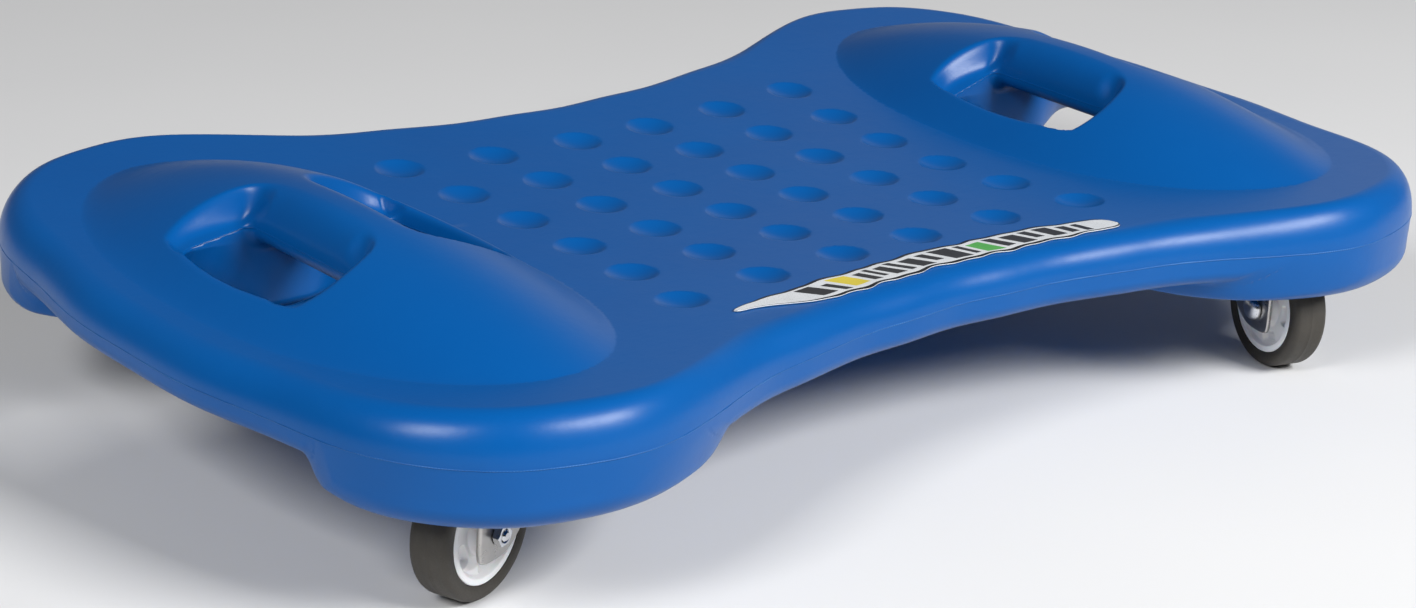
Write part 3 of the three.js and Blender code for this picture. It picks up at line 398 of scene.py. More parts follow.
def thinned(v, faces, target):
    """The same surface with about that many triangles, kept dense where it curves."""
    me = grid_mesh(v * MM, faces)
    ob = bpy.data.objects.new("thinning", me)
    bpy.context.scene.collection.objects.link(ob)
    mod = ob.modifiers.new("thin", "DECIMATE")
    mod.ratio = min(1.0, target / (2.0 * len(faces)))
    dg = bpy.context.evaluated_depsgraph_get()
    out = bpy.data.meshes.new_from_object(ob.evaluated_get(dg))
    tv, tf = triangles_of(out)
    bpy.data.objects.remove(ob)
    bpy.data.meshes.remove(me)
    bpy.data.meshes.remove(out)
    return tv / MM, tf


def piece(name, v, faces, normals, mat, place=None):
    """One object from arrays in mm, smooth, with its own normals."""
    v = np.asarray(v, np.float64)
    n = np.asarray(normals, np.float64)
    if place is not None:
        rot, off = place
        v = v @ rot.T + off
        n = n @ rot.T
    me = grid_mesh(v * MM, np.asarray(faces))
    me.name = name
    me.polygons.foreach_set("use_smooth", np.ones(len(me.polygons), bool))
    if len(n) == len(v):
        me.normals_split_custom_set_from_vertices(n.tolist())
    me.materials.append(mat)
    ob = bpy.data.objects.new(name, me)
    bpy.context.scene.collection.objects.link(ob)
    return ob


def implicit_mesh(field, lo, hi, h, steps=4):
    """Closed mesh of the zero level of field(x, y, z), positive inside, with its true normals."""
    lo = np.array(lo, float)
    n = np.ceil((np.array(hi, float) - lo) / h).astype(int) + 1
    ax = [lo[k] + h * np.arange(n[k]) for k in range(3)]
    f = field(*np.meshgrid(*ax, indexing="ij"))
    f = np.where(f == 0, 1e-6, f)
    v, q = surface_nets(f, lo, h)

    def grad(p, e=0.02):
        g = np.zeros_like(p)
        for k in range(3):
            d = np.zeros(3)
            d[k] = e
            g[:, k] = (field(*(p + d).T) - field(*(p - d).T)) / (2 * e)
        return g

    for _ in range(steps):
        g = grad(v)
        d = field(*v.T)
        v = v - np.clip(d / np.maximum((g * g).sum(1), 0.2), -0.6 * h, 0.6 * h)[:, None] * g
    g = grad(v)
    nrm = -g / np.maximum(np.linalg.norm(g, axis=1), 1e-6)[:, None]
    a = np.cross(v[q[:, 2]] - v[q[:, 0]], v[q[:, 3]] - v[q[:, 1]])
    if (np.einsum("ij,ij->i", a, nrm[q[:, 0]]) < 0).mean() > 0.5:
        q = q[:, ::-1]
    return v, q, nrm


def turned_mesh(profile, n, axis="z", crease=38.0):
    """Closed body turned about z (profile [radius, z]); the axis argument is not used. Corners sharper than crease are
    split by doubled points.
    """
    p = [tuple(map(float, q)) for q in profile]
    closed = p[0] == p[-1]
    if closed:
        p = p[:-1]
    pts = np.array(p)
    m = len(pts)
    seg = np.roll(pts, -1, 0) - pts
    if not closed:
        seg = seg[:-1]
    segn = np.stack([seg[:, 1], -seg[:, 0]], 1)
    segn /= np.maximum(np.linalg.norm(segn, axis=1), 1e-9)[:, None]
    area = 0.5 * np.sum(pts[:, 0] * np.roll(pts[:, 1], -1) - np.roll(pts[:, 0], -1) * pts[:, 1])
    if area < 0:
        segn = -segn
    rows, norms, starts = [], [], []
    ns = len(seg)
    for i in range(ns):
        a, b = pts[i], pts[(i + 1) % m]
        before = segn[i - 1] if (closed or i > 0) else None
        after = segn[(i + 1) % ns] if (closed or i < ns - 1) else None
        out = []
        for near in (before, after):
            if near is not None and np.dot(near, segn[i]) > math.cos(math.radians(crease)):
                k = near + segn[i]
                out.append(k / np.linalg.norm(k))
            else:
                out.append(segn[i])
        starts.append(len(rows))
        rows += [a, b]
        norms += out
    th = np.linspace(0, 2 * np.pi, n, endpoint=False)
    c, s = np.cos(th), np.sin(th)
    rows, norms = np.array(rows), np.array(norms)
    v = np.stack([rows[:, None, 0] * c, rows[:, None, 0] * s, np.repeat(rows[:, 1:2], n, 1)], -1)
    nn = np.stack([norms[:, None, 0] * c, norms[:, None, 0] * s, np.repeat(norms[:, 1:2], n, 1)], -1)
    return v, nn, starts, n


def turned(profile, n, axis="z", crease=38.0):
    """A turned body as shared points and faces, with a normal for each face corner."""
    p = [tuple(map(float, q)) for q in profile]
    closed = p[0] == p[-1]
    if closed:
        p = p[:-1]
    m = len(p)
    th = np.linspace(0, 2 * np.pi, n, endpoint=False)
    c, s = np.cos(th), np.sin(th)
    index, verts = [], []
    for r, z in p:
        if r < 1e-9:
            index.append(np.full(n, len(verts)))
            verts.append((0, 0, z))
        else:
            index.append(len(verts) + np.arange(n))
            verts += list(zip(r * c, r * s, [z] * n))
    v, nn, starts, _ = turned_mesh(profile, n, axis, crease)
    faces, norms = [], []
    count = m if closed else m - 1
    for i in range(count):
        A, B = index[i], index[(i + 1) % m]
        na, nb = nn[starts[i]], nn[starts[i] + 1]
        for k in range(n):
            l = (k + 1) % n
            ring = [(A[k], na[k]), (A[l], na[l]), (B[l], nb[l]), (B[k], nb[k])]
            seen, keep = set(), []
            for q in ring:
                if q[0] not in seen:
                    seen.add(q[0])
                    keep.append(q)
            faces.append([q[0] for q in keep])
            norms.append([q[1] for q in keep])
    verts = np.array(verts, float)
    # outward winding
    flip = 0
    for f, q in zip(faces[::7], norms[::7]):
        a = np.cross(verts[f[1]] - verts[f[0]], verts[f[2]] - verts[f[0]])
        flip += -1 if np.dot(a, q[0]) < 0 else 1
    if flip < 0:
        faces = [f[::-1] for f in faces]
        norms = [q[::-1] for q in norms]
    corner = np.array([q for f in norms for q in f])
    if axis == "y":
        verts = np.stack([verts[:, 0], verts[:, 2], -verts[:, 1]], 1)
        corner = np.stack([corner[:, 0], corner[:, 2], -corner[:, 1]], 1)
    return verts, faces, corner


def turned_piece(name, made, mat, place=None):
    v, faces, corner = made
    if place is not None:
        rot, off = place
        v, corner = v @ rot.T + off, corner @ rot.T
    me = bpy.data.meshes.new(name)
    me.from_pydata((v * MM).tolist(), [], [[int(i) for i in f] for f in faces])
    me.update()
    me.polygons.foreach_set("use_smooth", np.ones(len(me.polygons), bool))
    me.normals_split_custom_set(corner.tolist())
    me.materials.append(mat)
    ob = bpy.data.objects.new(name, me)
    bpy.context.scene.collection.objects.link(ob)
    return ob


# ------------------------------------------------------------------ materials
class Nodes:
    """Short hand for a node tree."""

    def __init__(self, name):
        self.mat = bpy.data.materials.new(name)
        self.mat.use_nodes = True
        self.t = self.mat.node_tree
        self.shader = self.t.nodes["Principled BSDF"]
        self.coord = self.t.nodes.new("ShaderNodeTexCoord")

    def new(self, kind, **values):
        n = self.t.nodes.new(kind)
        for k, v in values.items():
            if k in n.inputs:
                n.inputs[k].default_value = v
            else:
                setattr(n, k, v)
        return n

    def link(self, a, b):
        self.t.links.new(a, b)

    def noise(self, scale, detail=3.0, rough=0.5, stretch=None, distortion=0.0):
        n = self.new("ShaderNodeTexNoise")
        n.inputs["Scale"].default_value = scale
        n.inputs["Detail"].default_value = detail
        n.inputs["Roughness"].default_value = rough
        n.inputs["Distortion"].default_value = distortion
        if stretch:
            m = self.new("ShaderNodeMapping")
            m.inputs["Scale"].default_value = stretch[:3]
            if len(stretch) > 3:
                m.inputs["Rotation"].default_value = stretch[3:6]
            self.link(self.coord.outputs["Object"], m.inputs["Vector"])
            self.link(m.outputs["Vector"], n.inputs["Vector"])
        else:
            self.link(self.coord.outputs["Object"], n.inputs["Vector"])
        return n.outputs["Fac"]

    def ramp(self, fac, stops):
        r = self.new("ShaderNodeValToRGB")
        e = r.color_ramp.elements
        while len(e) < len(stops):
            e.new(0.5)
        for el, (pos, col) in zip(e, stops):
            el.position = pos
            el.color = (*col, 1) if len(col) == 3 else col
        self.link(fac, r.inputs["Fac"])
        return r.outputs["Color"]

    def span(self, fac, lo, hi, a, b):
        m = self.new("ShaderNodeMapRange")
        m.inputs["From Min"].default_value = lo
        m.inputs["From Max"].default_value = hi
        m.inputs["To Min"].default_value = a
        m.inputs["To Max"].default_value = b
        self.link(fac, m.inputs["Value"])
        return m.outputs["Result"]

    def mix(self, fac, a, b, blend="MIX"):
        m = self.new("ShaderNodeMix", data_type="RGBA", blend_type=blend)
        self.link(fac, m.inputs[0])
        for sock, val in ((m.inputs[6], a), (m.inputs[7], b)):
            if isinstance(val, tuple):
                sock.default_value = (*val, 1)
            else:
                self.link(val, sock)
        return m.outputs[2]

    def bump(self, layers):
        """layers: (height socket, strength, distance in m)"""
        last = None
        for height, strength, dist in layers:
            b = self.new("ShaderNodeBump")
            b.inputs["Strength"].default_value = strength
            b.inputs["Distance"].default_value = dist
            self.link(height, b.inputs["Height"])
            if last:
                self.link(last, b.inputs["Normal"])
            last = b.outputs["Normal"]
        self.link(last, self.shader.inputs["Normal"])

    def set(self, **values):
        for k, v in values.items():
            self.shader.inputs[k.replace("_", " ")].default_value = v


def flash_plastic():
    n = Nodes("blue_flash_line")
    cloud = n.noise(55.0, 4.0, 0.6)
    fine = n.noise(900.0, 2.0, 0.6)
    n.link(n.ramp(cloud, [(0.40, (0.001, 0.075, 0.27)), (0.66, (0.04, 0.16, 0.40))]), n.shader.inputs["Base Color"])
    n.link(n.span(fine, 0.3, 0.7, 0.42, 0.56), n.shader.inputs["Roughness"])
    n.set(IOR=1.5)
    n.bump([(fine, 0.15, 0.0001)])
    return n.mat


def blue_plastic():
    n = Nodes("blue_moulded_plastic")
    cloud = n.noise(9.0, 4.0, 0.55)
    fine = n.noise(900.0, 2.0, 0.6)
    peel = n.noise(140.0, 2.0, 0.5)
    wave = n.noise(14.0, 1.0, 0.4)
    scuff = n.noise(60.0, 6.0, 0.72, (1.0, 7.0, 1.0, 0.0, 0.0, 0.5))
    speck = n.noise(420.0, 3.0, 0.7)
    base = n.ramp(cloud, [(0.30, BLUE_LOW), (0.70, BLUE_HIGH)])
    worn = n.span(scuff, 0.60, 0.80, 0.0, 0.10)
    col = n.mix(worn, base, BLUE_WORN)
    dusty = n.span(speck, 0.66, 0.80, 0.0, 0.12)
    col = n.mix(dusty, col, BLUE_WORN)
    n.link(col, n.shader.inputs["Base Color"])
    r = n.new("ShaderNodeMath", operation="ADD")
    n.link(n.span(cloud, 0.3, 0.7, BLUE_ROUGH - 0.03, BLUE_ROUGH + 0.03), r.inputs[0])
    n.link(n.span(scuff, 0.55, 0.8, 0.0, 0.07), r.inputs[1])
    n.link(r.outputs[0], n.shader.inputs["Roughness"])
    n.set(IOR=1.5, Specular_IOR_Level=0.23)
    n.bump([(wave, 0.35, 0.0012), (peel, 0.10, 0.0006), (fine, 0.10, 0.00012)])
    return n.mat


def pressed_steel():
    n = Nodes("pressed_zinc_steel")
    cloud = n.noise(60.0, 4.0, 0.6)
    grain = n.noise(700.0, 4.0, 0.65, (1.0, 1.0, 4.0))
    spang = n.noise(260.0, 1.0, 0.5)
    n.link(n.ramp(cloud, [(0.25, (0.42, 0.41, 0.39)), (0.60, (0.53, 0.51, 0.49)), (0.85, (0.60, 0.58, 0.565))]), n.shader.inputs["Base Color"])
    r = n.new("ShaderNodeMath", operation="ADD")
    n.link(n.span(spang, 0.3, 0.7, 0.24, 0.34), r.inputs[0])
    n.link(n.span(grain, 0.4, 0.8, 0.0, 0.10), r.inputs[1])
    n.link(r.outputs[0], n.shader.inputs["Roughness"])
    n.set(Metallic=1.0)
    n.bump([(grain, 0.16, 0.00006), (cloud, 0.2, 0.0002)])
    return n.mat


def zinc():
    n = Nodes("bright_zinc")
    cloud = n.noise(180.0, 3.0, 0.6)
    grain = n.noise(1400.0, 3.0, 0.6)
    n.link(n.ramp(cloud, [(0.3, (0.58, 0.60, 0.63)), (0.7, (0.74, 0.75, 0.77))]), n.shader.inputs["Base Color"])
    n.link(n.span(grain, 0.3, 0.75, 0.16, 0.30), n.shader.inputs["Roughness"])
    n.set(Metallic=1.0)
    n.bump([(grain, 0.15, 0.00004)])
    return n.mat


def white_hub():
    n = Nodes("white_moulded_hub")
    cloud = n.noise(70.0, 3.0, 0.55)
    fine = n.noise(900.0, 2.0, 0.6)
    n.link(n.ramp(cloud, [(0.3, (0.87, 0.87, 0.88)), (0.7, (0.92, 0.92, 0.92))]), n.shader.inputs["Base Color"])
    n.link(n.span(fine, 0.3, 0.7, 0.36, 0.46), n.shader.inputs["Roughness"])
    n.set(Subsurface_Weight=0.12, Subsurface_Scale=0.002)
    n.bump([(fine, 0.15, 0.00006), (cloud, 0.3, 0.0003)])
    return n.mat


def grey_tyre():
    n = Nodes("grey_rubber_tyre")
    cloud = n.noise(110.0, 4.0, 0.6)
    fine = n.noise(1600.0, 3.0, 0.65)
    dust = n.noise(320.0, 5.0, 0.7)
    base = n.ramp(cloud, [(0.3, (0.030, 0.026, 0.020)), (0.7, (0.043, 0.038, 0.030))])
    col = n.mix(n.span(dust, 0.62, 0.80, 0.0, 0.25), base, (0.10, 0.094, 0.082))
    n.link(col, n.shader.inputs["Base Color"])
    n.link(n.span(fine, 0.3, 0.7, 0.52, 0.68), n.shader.inputs["Roughness"])
    n.bump([(fine, 0.35, 0.00008), (cloud, 0.2, 0.0003)])
    return n.mat


def printed(name, a, b, rough, metallic=0.0):
    n = Nodes(name)
    cloud = n.noise(150.0, 3.0, 0.55)
    fine = n.noise(1800.0, 2.0, 0.6)
    n.link(n.ramp(cloud, [(0.3, a), (0.7, b)]), n.shader.inputs["Base Color"])
    n.link(n.span(fine, 0.3, 0.7, rough - 0.05, rough + 0.05), n.shader.inputs["Roughness"])
    n.set(Metallic=metallic)
    n.bump([(fine, 0.12, 0.00003), (cloud, 0.25, 0.00015)])
    return n.mat


BLUE_LOW, BLUE_HIGH, BLUE_WORN = (0.0003, 0.0755, 0.288), (0.0005, 0.083, 0.308), (0.008, 0.12, 0.35)
BLUE_ROUGH = 0.31

blue = blue_plastic()
flash = flash_plastic()
steel = pressed_steel()
bright = zinc()
hub_mat = white_hub()
rubber = grey_tyre()
label_white = printed("label_silver_white", (0.62, 0.64, 0.66), (0.70, 0.72, 0.74), 0.30)
label_black = printed("label_black", (0.010, 0.010, 0.012), (0.016, 0.016, 0.018), 0.34)
label_yellow = printed("label_yellow", (0.62, 0.50, 0.03), (0.70, 0.56, 0.05), 0.32)
label_green = printed("label_green", (0.06, 0.34, 0.05), (0.08, 0.40, 0.07), 0.32)


# ------------------------------------------------------------------ board
def ridge(points, outward, up, height, half, sink=0.45, closed=True):
    """Thin raised line along a path: points (n, 3), the direction it stands out in, the direction across it, and its height at each point."""
    P, N, U = (np.asarray(a, float) for a in (points, outward, up))
    h = np.asarray(height, float)[:, None]
    ring = [P - sink * N - 1.25 * half * U, P + 0.55 * h * N - 0.62 * half * U, P + h * N, P + 0.55 * h * N + 0.62 * half * U, P - sink * N + 1.25 * half * U]
    nr = [-U, -0.75 * U + 0.6 * N, N, 0.75 * U + 0.6 * N, U]
    k, n = len(ring), len(P)
    v = np.concatenate(ring)
    nn = np.concatenate(nr)
    nn /= np.linalg.norm(nn, axis=1)[:, None]
    f = []
    for i in range(n if closed else n - 1):
        j = (i + 1) % n
        for a in range(k):
            b = (a + 1) % k
            f.append([a * n + i, b * n + i, b * n + j, a * n + j])
    f = np.array(f)
    a = np.cross(v[f[:, 2]] - v[f[:, 0]], v[f[:, 3]] - v[f[:, 1]])
    if (np.einsum("ij,ij->i", a, nn[f[:, 1]]) < 0).mean() > 0.5:
        f = f[:, ::-1]
    return v, f, nn


def wobble(s, seed, scales=((0.9, 1.0), (2.3, 0.6), (7.1, 0.4))):
    """Smooth uneven value along a length in mm, about -1 to 1."""
    rng = np.random.default_rng(seed)
    out = np.zeros_like(s)
    for per, amp in scales:
        for _ in range(3):
            out += amp * np.sin(2 * np.pi * s * rng.uniform(0.6, 1.5) / (12.0 * per) + rng.uniform(0, 6.3))
    return out / 3.2


def slot_path(sx, su, n=220):
    """Edge of one hand slot, in plan, with the direction into the slot."""
    def corner(cu, cv, r, a0, a1):
        a = np.radians(np.linspace(a0, a1, 14))
        return np.stack([cu + r * np.cos(a), cv + r * np.sin(a)], 1)
    H = SLOT_HALF
    e = float(slot_edge(np.array(H - LIP_CORNER)))
    v = np.linspace(-(H - LIP_CORNER), H - LIP_CORNER, 40)[1:-1]
    lip = np.stack([slot_edge(v), v], 1)
    p = np.concatenate([corner(e - LIP_CORNER, -(H - LIP_CORNER), LIP_CORNER, -90, 0), lip, corner(e - LIP_CORNER, H - LIP_CORNER, LIP_CORNER, 0, 90),
                        corner(SLOT_IN + BAR_CORNER, H - BAR_CORNER, BAR_CORNER, 90, 180), corner(SLOT_IN + BAR_CORNER, -(H - BAR_CORNER), BAR_CORNER, 180, 270)])
    q = np.concatenate([p, p[:1]])
    s = np.concatenate([[0], np.cumsum(np.hypot(*np.diff(q, axis=0).T))])
    w = np.linspace(0, s[-1], n, endpoint=False)
    pts = np.stack([np.interp(w, s, q[:, k]) for k in (0, 1)], 1)
    d = np.roll(pts, -1, 0) - np.roll(pts, 1, 0)
    d /= np.hypot(d[:, 0], d[:, 1])[:, None]
    into = np.stack([-d[:, 1], d[:, 0]], 1)
    m = sx * (MOUND_X + su * pts[:, 0])
    z = GRIP_Z + (lip_height(m) - GRIP_Z) * np.clip((pts[:, 0] - SLOT_IN) / (SLOT_OUT - SLOT_IN), 0, 1)
    k = sx * su
    return np.stack([m, pts[:, 1], z], 1), np.stack([k * into[:, 0], into[:, 1], np.zeros(n)], 1), w


bv, bf, bn = board_mesh()
bv, bf = thinned(bv, bf, 186000)
for _ in range(3):
    g = gradient_at(bv)
    bv = bv - np.clip(solid_at(bv) / np.maximum((g * g).sum(1), 0.2), -0.5, 0.5)[:, None] * g
g = gradient_at(bv)
bn = -g / np.maximum(np.linalg.norm(g, axis=1), 1e-6)[:, None]

parts = [(bv, bf, bn)]
op, on, os_ = outline_points(1500)
line = np.column_stack([op, np.full(len(op), PART_Z)])
out3 = np.column_stack([on, np.zeros(len(on))])
up3 = np.tile([0.0, 0.0, 1.0], (len(op), 1))
wob = wobble(os_, 11)
parts.append(ridge(line + up3 * 0.05 * wobble(os_, 5)[:, None], out3, up3, np.clip(0.16 + 0.09 * wob, 0.05, 0.34), 0.34))
for i, (sx, su) in enumerate([(-1, -1), (-1, 1), (1, -1), (1, 1)]):
    p, into, s = slot_path(sx, su)
    h = np.clip(0.22 + 0.12 * wobble(s, 21 + i), 0.06, 0.5)
    parts.append(ridge(p, into, np.tile([0.0, 0.0, 1.0], (len(p), 1)), 0.6 * h, 0.24))


def joined(parts):
    v, f, n, at = [], [], [], 0
    for pv, pf, pn in parts:
        if pf.shape[1] == 4:
            pf = np.concatenate([pf[:, [0, 1, 2]], pf[:, [0, 2, 3]]])
        v.append(pv)
        f.append(pf + at)
        n.append(pn)
        at += len(pv)
    return np.concatenate(v), np.concatenate(f), np.concatenate(n)


board = piece("moulded_board", *joined(parts), blue)
board.data.materials.append(flash)
mark = np.zeros(len(board.data.polygons), np.int32)
mark[len(parts[0][1]):len(parts[0][1]) + len(parts[1][1])] = 1
board.data.polygons.foreach_set("material_index", mark)
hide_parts("board_body")
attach(board, "board")


# ------------------------------------------------------------------ label strip
def label():
    T0, T1, LIFT, THICK = 9.2, 28.8, 0.3, 0.35
    tc, half = (T0 + T1) / 2, (T1 - T0) / 2
    pts, nrm, s = outline_points(4000)
    keep = (pts[:, 1] < 0) & (np.abs(pts[:, 0]) < 100)
    pts, nrm = pts[keep], nrm[keep]
    order = np.argsort(pts[:, 0])
    pts, nrm = pts[order], nrm[order]
    s = np.concatenate([[0], np.cumsum(np.hypot(*np.diff(pts, axis=0).T))])
    s -= np.interp(0, pts[:, 0], s)
    L0, L1 = -93.0, 87.0
    slant = -0.30
    # slanted bars of uneven height along the strip: (start, end, material, lowest and highest row)
    bars, at = [], -60.0
    pattern = [(7.5, 1, 3, 8), (3.2, 1, 2, 6), (8.0, 2, 3, 8), (4.2, 1, 3, 7), (3.0, 1, 4, 8), (5.6, 1, 3, 7), (3.2, 1, 3, 8), (6.0, 1, 2, 7), (3.4, 1, 4, 7),
               (8.4, 1, 2, 8), (3.0, 1, 3, 8), (8.6, 3, 2, 7), (4.6, 1, 3, 8), (6.4, 1, 2, 7), (3.4, 1, 4, 8), (6.0, 1, 3, 8), (4.0, 1, 3, 7), (3.2, 1, 2, 7)]
    for w, m, r0, r1 in pattern:
        bars.append((at, at + w, m, r0, r1))
        at += w + 2.4
    edge = 0.9
    cols = {L0, L1, L0 + 1.2, L1 - edge}
    for a, b, *_ in bars:
        cols |= {a, b}
    cols |= set(np.arange(L0 + 2, L1 - 1, 1.5)) | set(L1 - 9 + 9 * np.sin(np.radians([20, 35, 50, 62, 72, 80, 86]))) | {L0 + 0.4, L0 + 1.0, L0 + 1.8}
    cols = np.array(sorted(cols))
    cols = cols[np.concatenate([[True], np.diff(cols) > 0.25])]

    def width(c):
        left = 0.16 + 0.50 * smooth((c - L0) / 26.0) + 0.20 * smooth((c - L0 - 20.0) / 10.0)
        tip = np.sqrt(np.clip(1 - np.clip((L0 + 3.0 - c) / 3.0, 0, 1) ** 2, 0, 1))
        right = np.sqrt(np.clip(1 - np.clip((c - (L1 - 9.0)) / 9.0, 0, 1) ** 2, 0, 1))
        wave = 0.92 + 0.05 * np.sin(c / 4.1) + 0.04 * np.sin(c / 2.3 + 1.3)
        taper = 1 - 0.22 * smooth((c - 40) / 40)
        return half * np.maximum(min(left * 1.16, 1.0) * tip * right * wave * taper, 0.06)

    fr = np.array([-1, -0.84, -0.70, -0.58, -0.40, 0, 0.40, 0.58, 0.70, 0.84, 1])
    V, row = [], len(fr)
    for c in cols:
        w = width(c)
        for f in fr:
            t = tc + 8.6 * smooth((-56.0 - c) / 34.0) + w * f
            q = np.clip(c + slant * w * f, s[0] + 1, s[-1] - 1)
            p = np.array([np.interp(q, s, pts[:, 0]), np.interp(q, s, pts[:, 1])])
            d = np.array([np.interp(q, s, nrm[:, 0]), np.interp(q, s, nrm[:, 1])])
            x, y = p - d / np.hypot(*d) * t
            V.append((x, y))
    V = np.array(V)
    probe = np.column_stack([V, np.full(len(V), 80.0)])
    e = 0.3
    # height of the board's own surface under each point
    zs = np.full(len(V), 74.0)
    q = plan(V[:, 0], V[:, 1])
    lo_, hi_ = np.full(len(V), 66.0), np.full(len(V), 90.0)
    for _ in range(40):
        mid = (lo_ + hi_) / 2
        inside = solid(q, mid) > 0
        lo_, hi_ = np.where(inside, mid, lo_), np.where(inside, hi_, mid)
    zs = (lo_ + hi_) / 2
    P = np.column_stack([V, zs])
    g = gradient_at(P)
    nn = -g / np.linalg.norm(g, axis=1)[:, None]
    top, low = P + nn * (LIFT + THICK), P + nn * LIFT
    nc = len(cols)
    verts = np.concatenate([top, low])
    faces, mats, norms = [], [], []
    ident = lambda k, i, j: k * nc * row + i * row + j
    for i in range(nc - 1):
        mid = (cols[i] + cols[i + 1]) / 2
        m, low_row, high_row = 0, 0, 0
        for a, b, k, r0, r1 in bars:
            if a < mid < b:
                m, low_row, high_row = k, r0, r1
        for j in range(row - 1):
            border = j in (0, row - 2) or i == 0 or i >= nc - 2
            if border:
                mm = 1
            elif low_row <= j < high_row:
                mm = m
            else:
                mm = 0
            faces.append([ident(0, i, j), ident(0, i + 1, j), ident(0, i + 1, j + 1), ident(0, i, j + 1)])
            mats.append(mm)
            faces.append([ident(1, i, j), ident(1, i, j + 1), ident(1, i + 1, j + 1), ident(1, i + 1, j)])
            mats.append(0)
        for j, order_ in ((0, 1), (row - 1, -1)):
            f = [ident(0, i, j), ident(1, i, j), ident(1, i + 1, j), ident(0, i + 1, j)]
            faces.append(f[::order_])
            mats.append(0)
    for i, order_ in ((0, -1), (nc - 1, 1)):
        for j in range(row - 1):
            f = [ident(0, i, j), ident(1, i, j), ident(1, i, j + 1), ident(0, i, j + 1)]
            faces.append(f[::order_])
            mats.append(0)
    faces = np.array(faces)
    v = verts
    c = np.cross(v[faces[0][1]] - v[faces[0][0]], v[faces[0][3]] - v[faces[0][0]])
    if np.dot(c, nn[0]) < 0:
        faces = faces[:, ::-1]
    me = grid_mesh(v * MM, faces)
    me.name = "label_strip_print"
    for m in (label_white, label_black, label_yellow, label_green):
        me.materials.append(m)
    me.polygons.foreach_set("material_index", np.array(mats, np.int32))
    me.update()
    ob = bpy.data.objects.new("label_strip_print", me)
    bpy.context.scene.collection.objects.link(ob)
    return ob


strip = label()
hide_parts("label_strip")
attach(strip, "board")


# ------------------------------------------------------------------ caster pieces, in the caster's own frame (swivel axis at the origin, wheel behind on -X)
def plane_round(ds, r):
    """Inside all of several half-planes, corners rounded to r."""
    q = sum(np.maximum(r - d, 0) ** 2 for d in ds)
    low = ds[0]
    for d in ds[1:]:
        low = np.minimum(low, d)
    return np.where(low < r, r - np.sqrt(q), low)


LEG = [(27.5, 31.0), (21, 7), (13.4, -3.4), (6.8, -8.3), (3.5, -9.4), (-7.8, -9.3), (-9.4, -8.6), (-10.2, -7), (-10.2, 31.0)]


def fork_field(x, y, z):
    u, w = x + TRAIL, z - AXLE_Z
    ds = []
    for (ax, az), (bx, bz) in zip(LEG, LEG[1:] + LEG[:1]):
        ex, ez = bx - ax, bz - az
        l = math.hypot(ex, ez)
        ds.append(((w - az) * ex / l - (u - ax) * ez / l) * -1)
    leg = plane_round(ds, 1.6)
    outer = round_and(11.4 - np.abs(y), 56.2 - z, 3.2)
    inner = round_and(9.4 - np.abs(y), 54.0 - z, 1.2)
    channel = round_and(np.minimum(outer, -inner), leg, 0.8)
    disc = round_and(18.5 - np.hypot(x, y), 1.1 - np.abs(z - 55.1), 0.8)
    f = round_or(channel, disc, 1.2)
    f = np.minimum(f, 56.2 - z)
    f = round_and(f, np.hypot(u, w) - 3.3, 0.3)
    f = round_and(f, np.hypot(x, y) - 4.3, 0.3)
    return f


def plate_field(x, y, z):
    ax, ay = np.abs(x), np.abs(y)
    px, py = np.maximum(ax - 24, 0), np.maximum(ay - 18, 0)
    rect = np.where((ax > 24) & (ay > 18), 5 - np.hypot(px, py), np.minimum(29 - ax, 23 - ay))
    flat = round_and(rect, 1.1 - np.abs(z - 64.6), 0.7)
    r = np.hypot(x, y)
    cone = (20.0 - (63.7 - z) * 0.556 - r) / 1.14
    cup = round_and(cone, z - 60.1, 0.8)
    cup = np.minimum(cup, 65.0 - z)
    cup = round_and(cup, np.maximum(r - 15.8, z - 63.1), 0.7)
    f = round_or(flat, cup, 1.3)
    f = np.where((r < 15.8) & (z < 63.1), np.minimum(f, -np.minimum(15.8 - r, 63.1 - z)), f)
    f = np.minimum(f, 65.7 - z)
    f = round_and(f, r - 4.3, 0.3)
    for sx, sy in SCREWS:
        f = round_and(f, np.hypot(x - sx, y - sy) - 2.5, 0.3)
    return f


def race_field(x, y, z):
    r = np.hypot(x, y)
    cage = round_and(2.0 - np.abs(r - 12.9), 1.0 - np.abs(z - 59.1), 0.5)
    th = np.arctan2(y, x)
    k = np.round(th / (2 * np.pi / 12)) * (2 * np.pi / 12)
    ball = 2.45 - np.sqrt((x - 12.9 * np.cos(k)) ** 2 + (y - 12.9 * np.sin(k)) ** 2 + (z - 59.1) ** 2)
    return round_or(cage, ball, 0.3)


def hub_field(phase_near, phase_far):
    def field(x, y, z):
        u, w = x + TRAIL, z - AXLE_Z
        r = np.hypot(u, w)
        th = np.degrees(np.arctan2(w, u))
        H = 5.4 + 3.5 * smooth((9.3 - r) / 1.6) + 1.8 * smooth((r - 15.7) / 1.2)
        ph = np.where(y > 0, phase_near, phase_far)
        k = (th - ph + 36) % 72 - 36
        side = r * np.sin(np.radians(np.abs(k)))
        along = r * np.cos(np.radians(k))
        # pocket: rounded trapezoid between the ribs
        pk = plane_round([4.7 + 0.22 * (along - 12.9) - side, along - 10.4, 15.9 - r], 1.6)
        H = H - 2.6 * smooth(pk / 1.5)
        e = (H - np.abs(y)) / 1.25
        f = round_and(e, 19.3 - r, 0.5)
        return round_and(f, r - 5.3, 0.4)
    return field


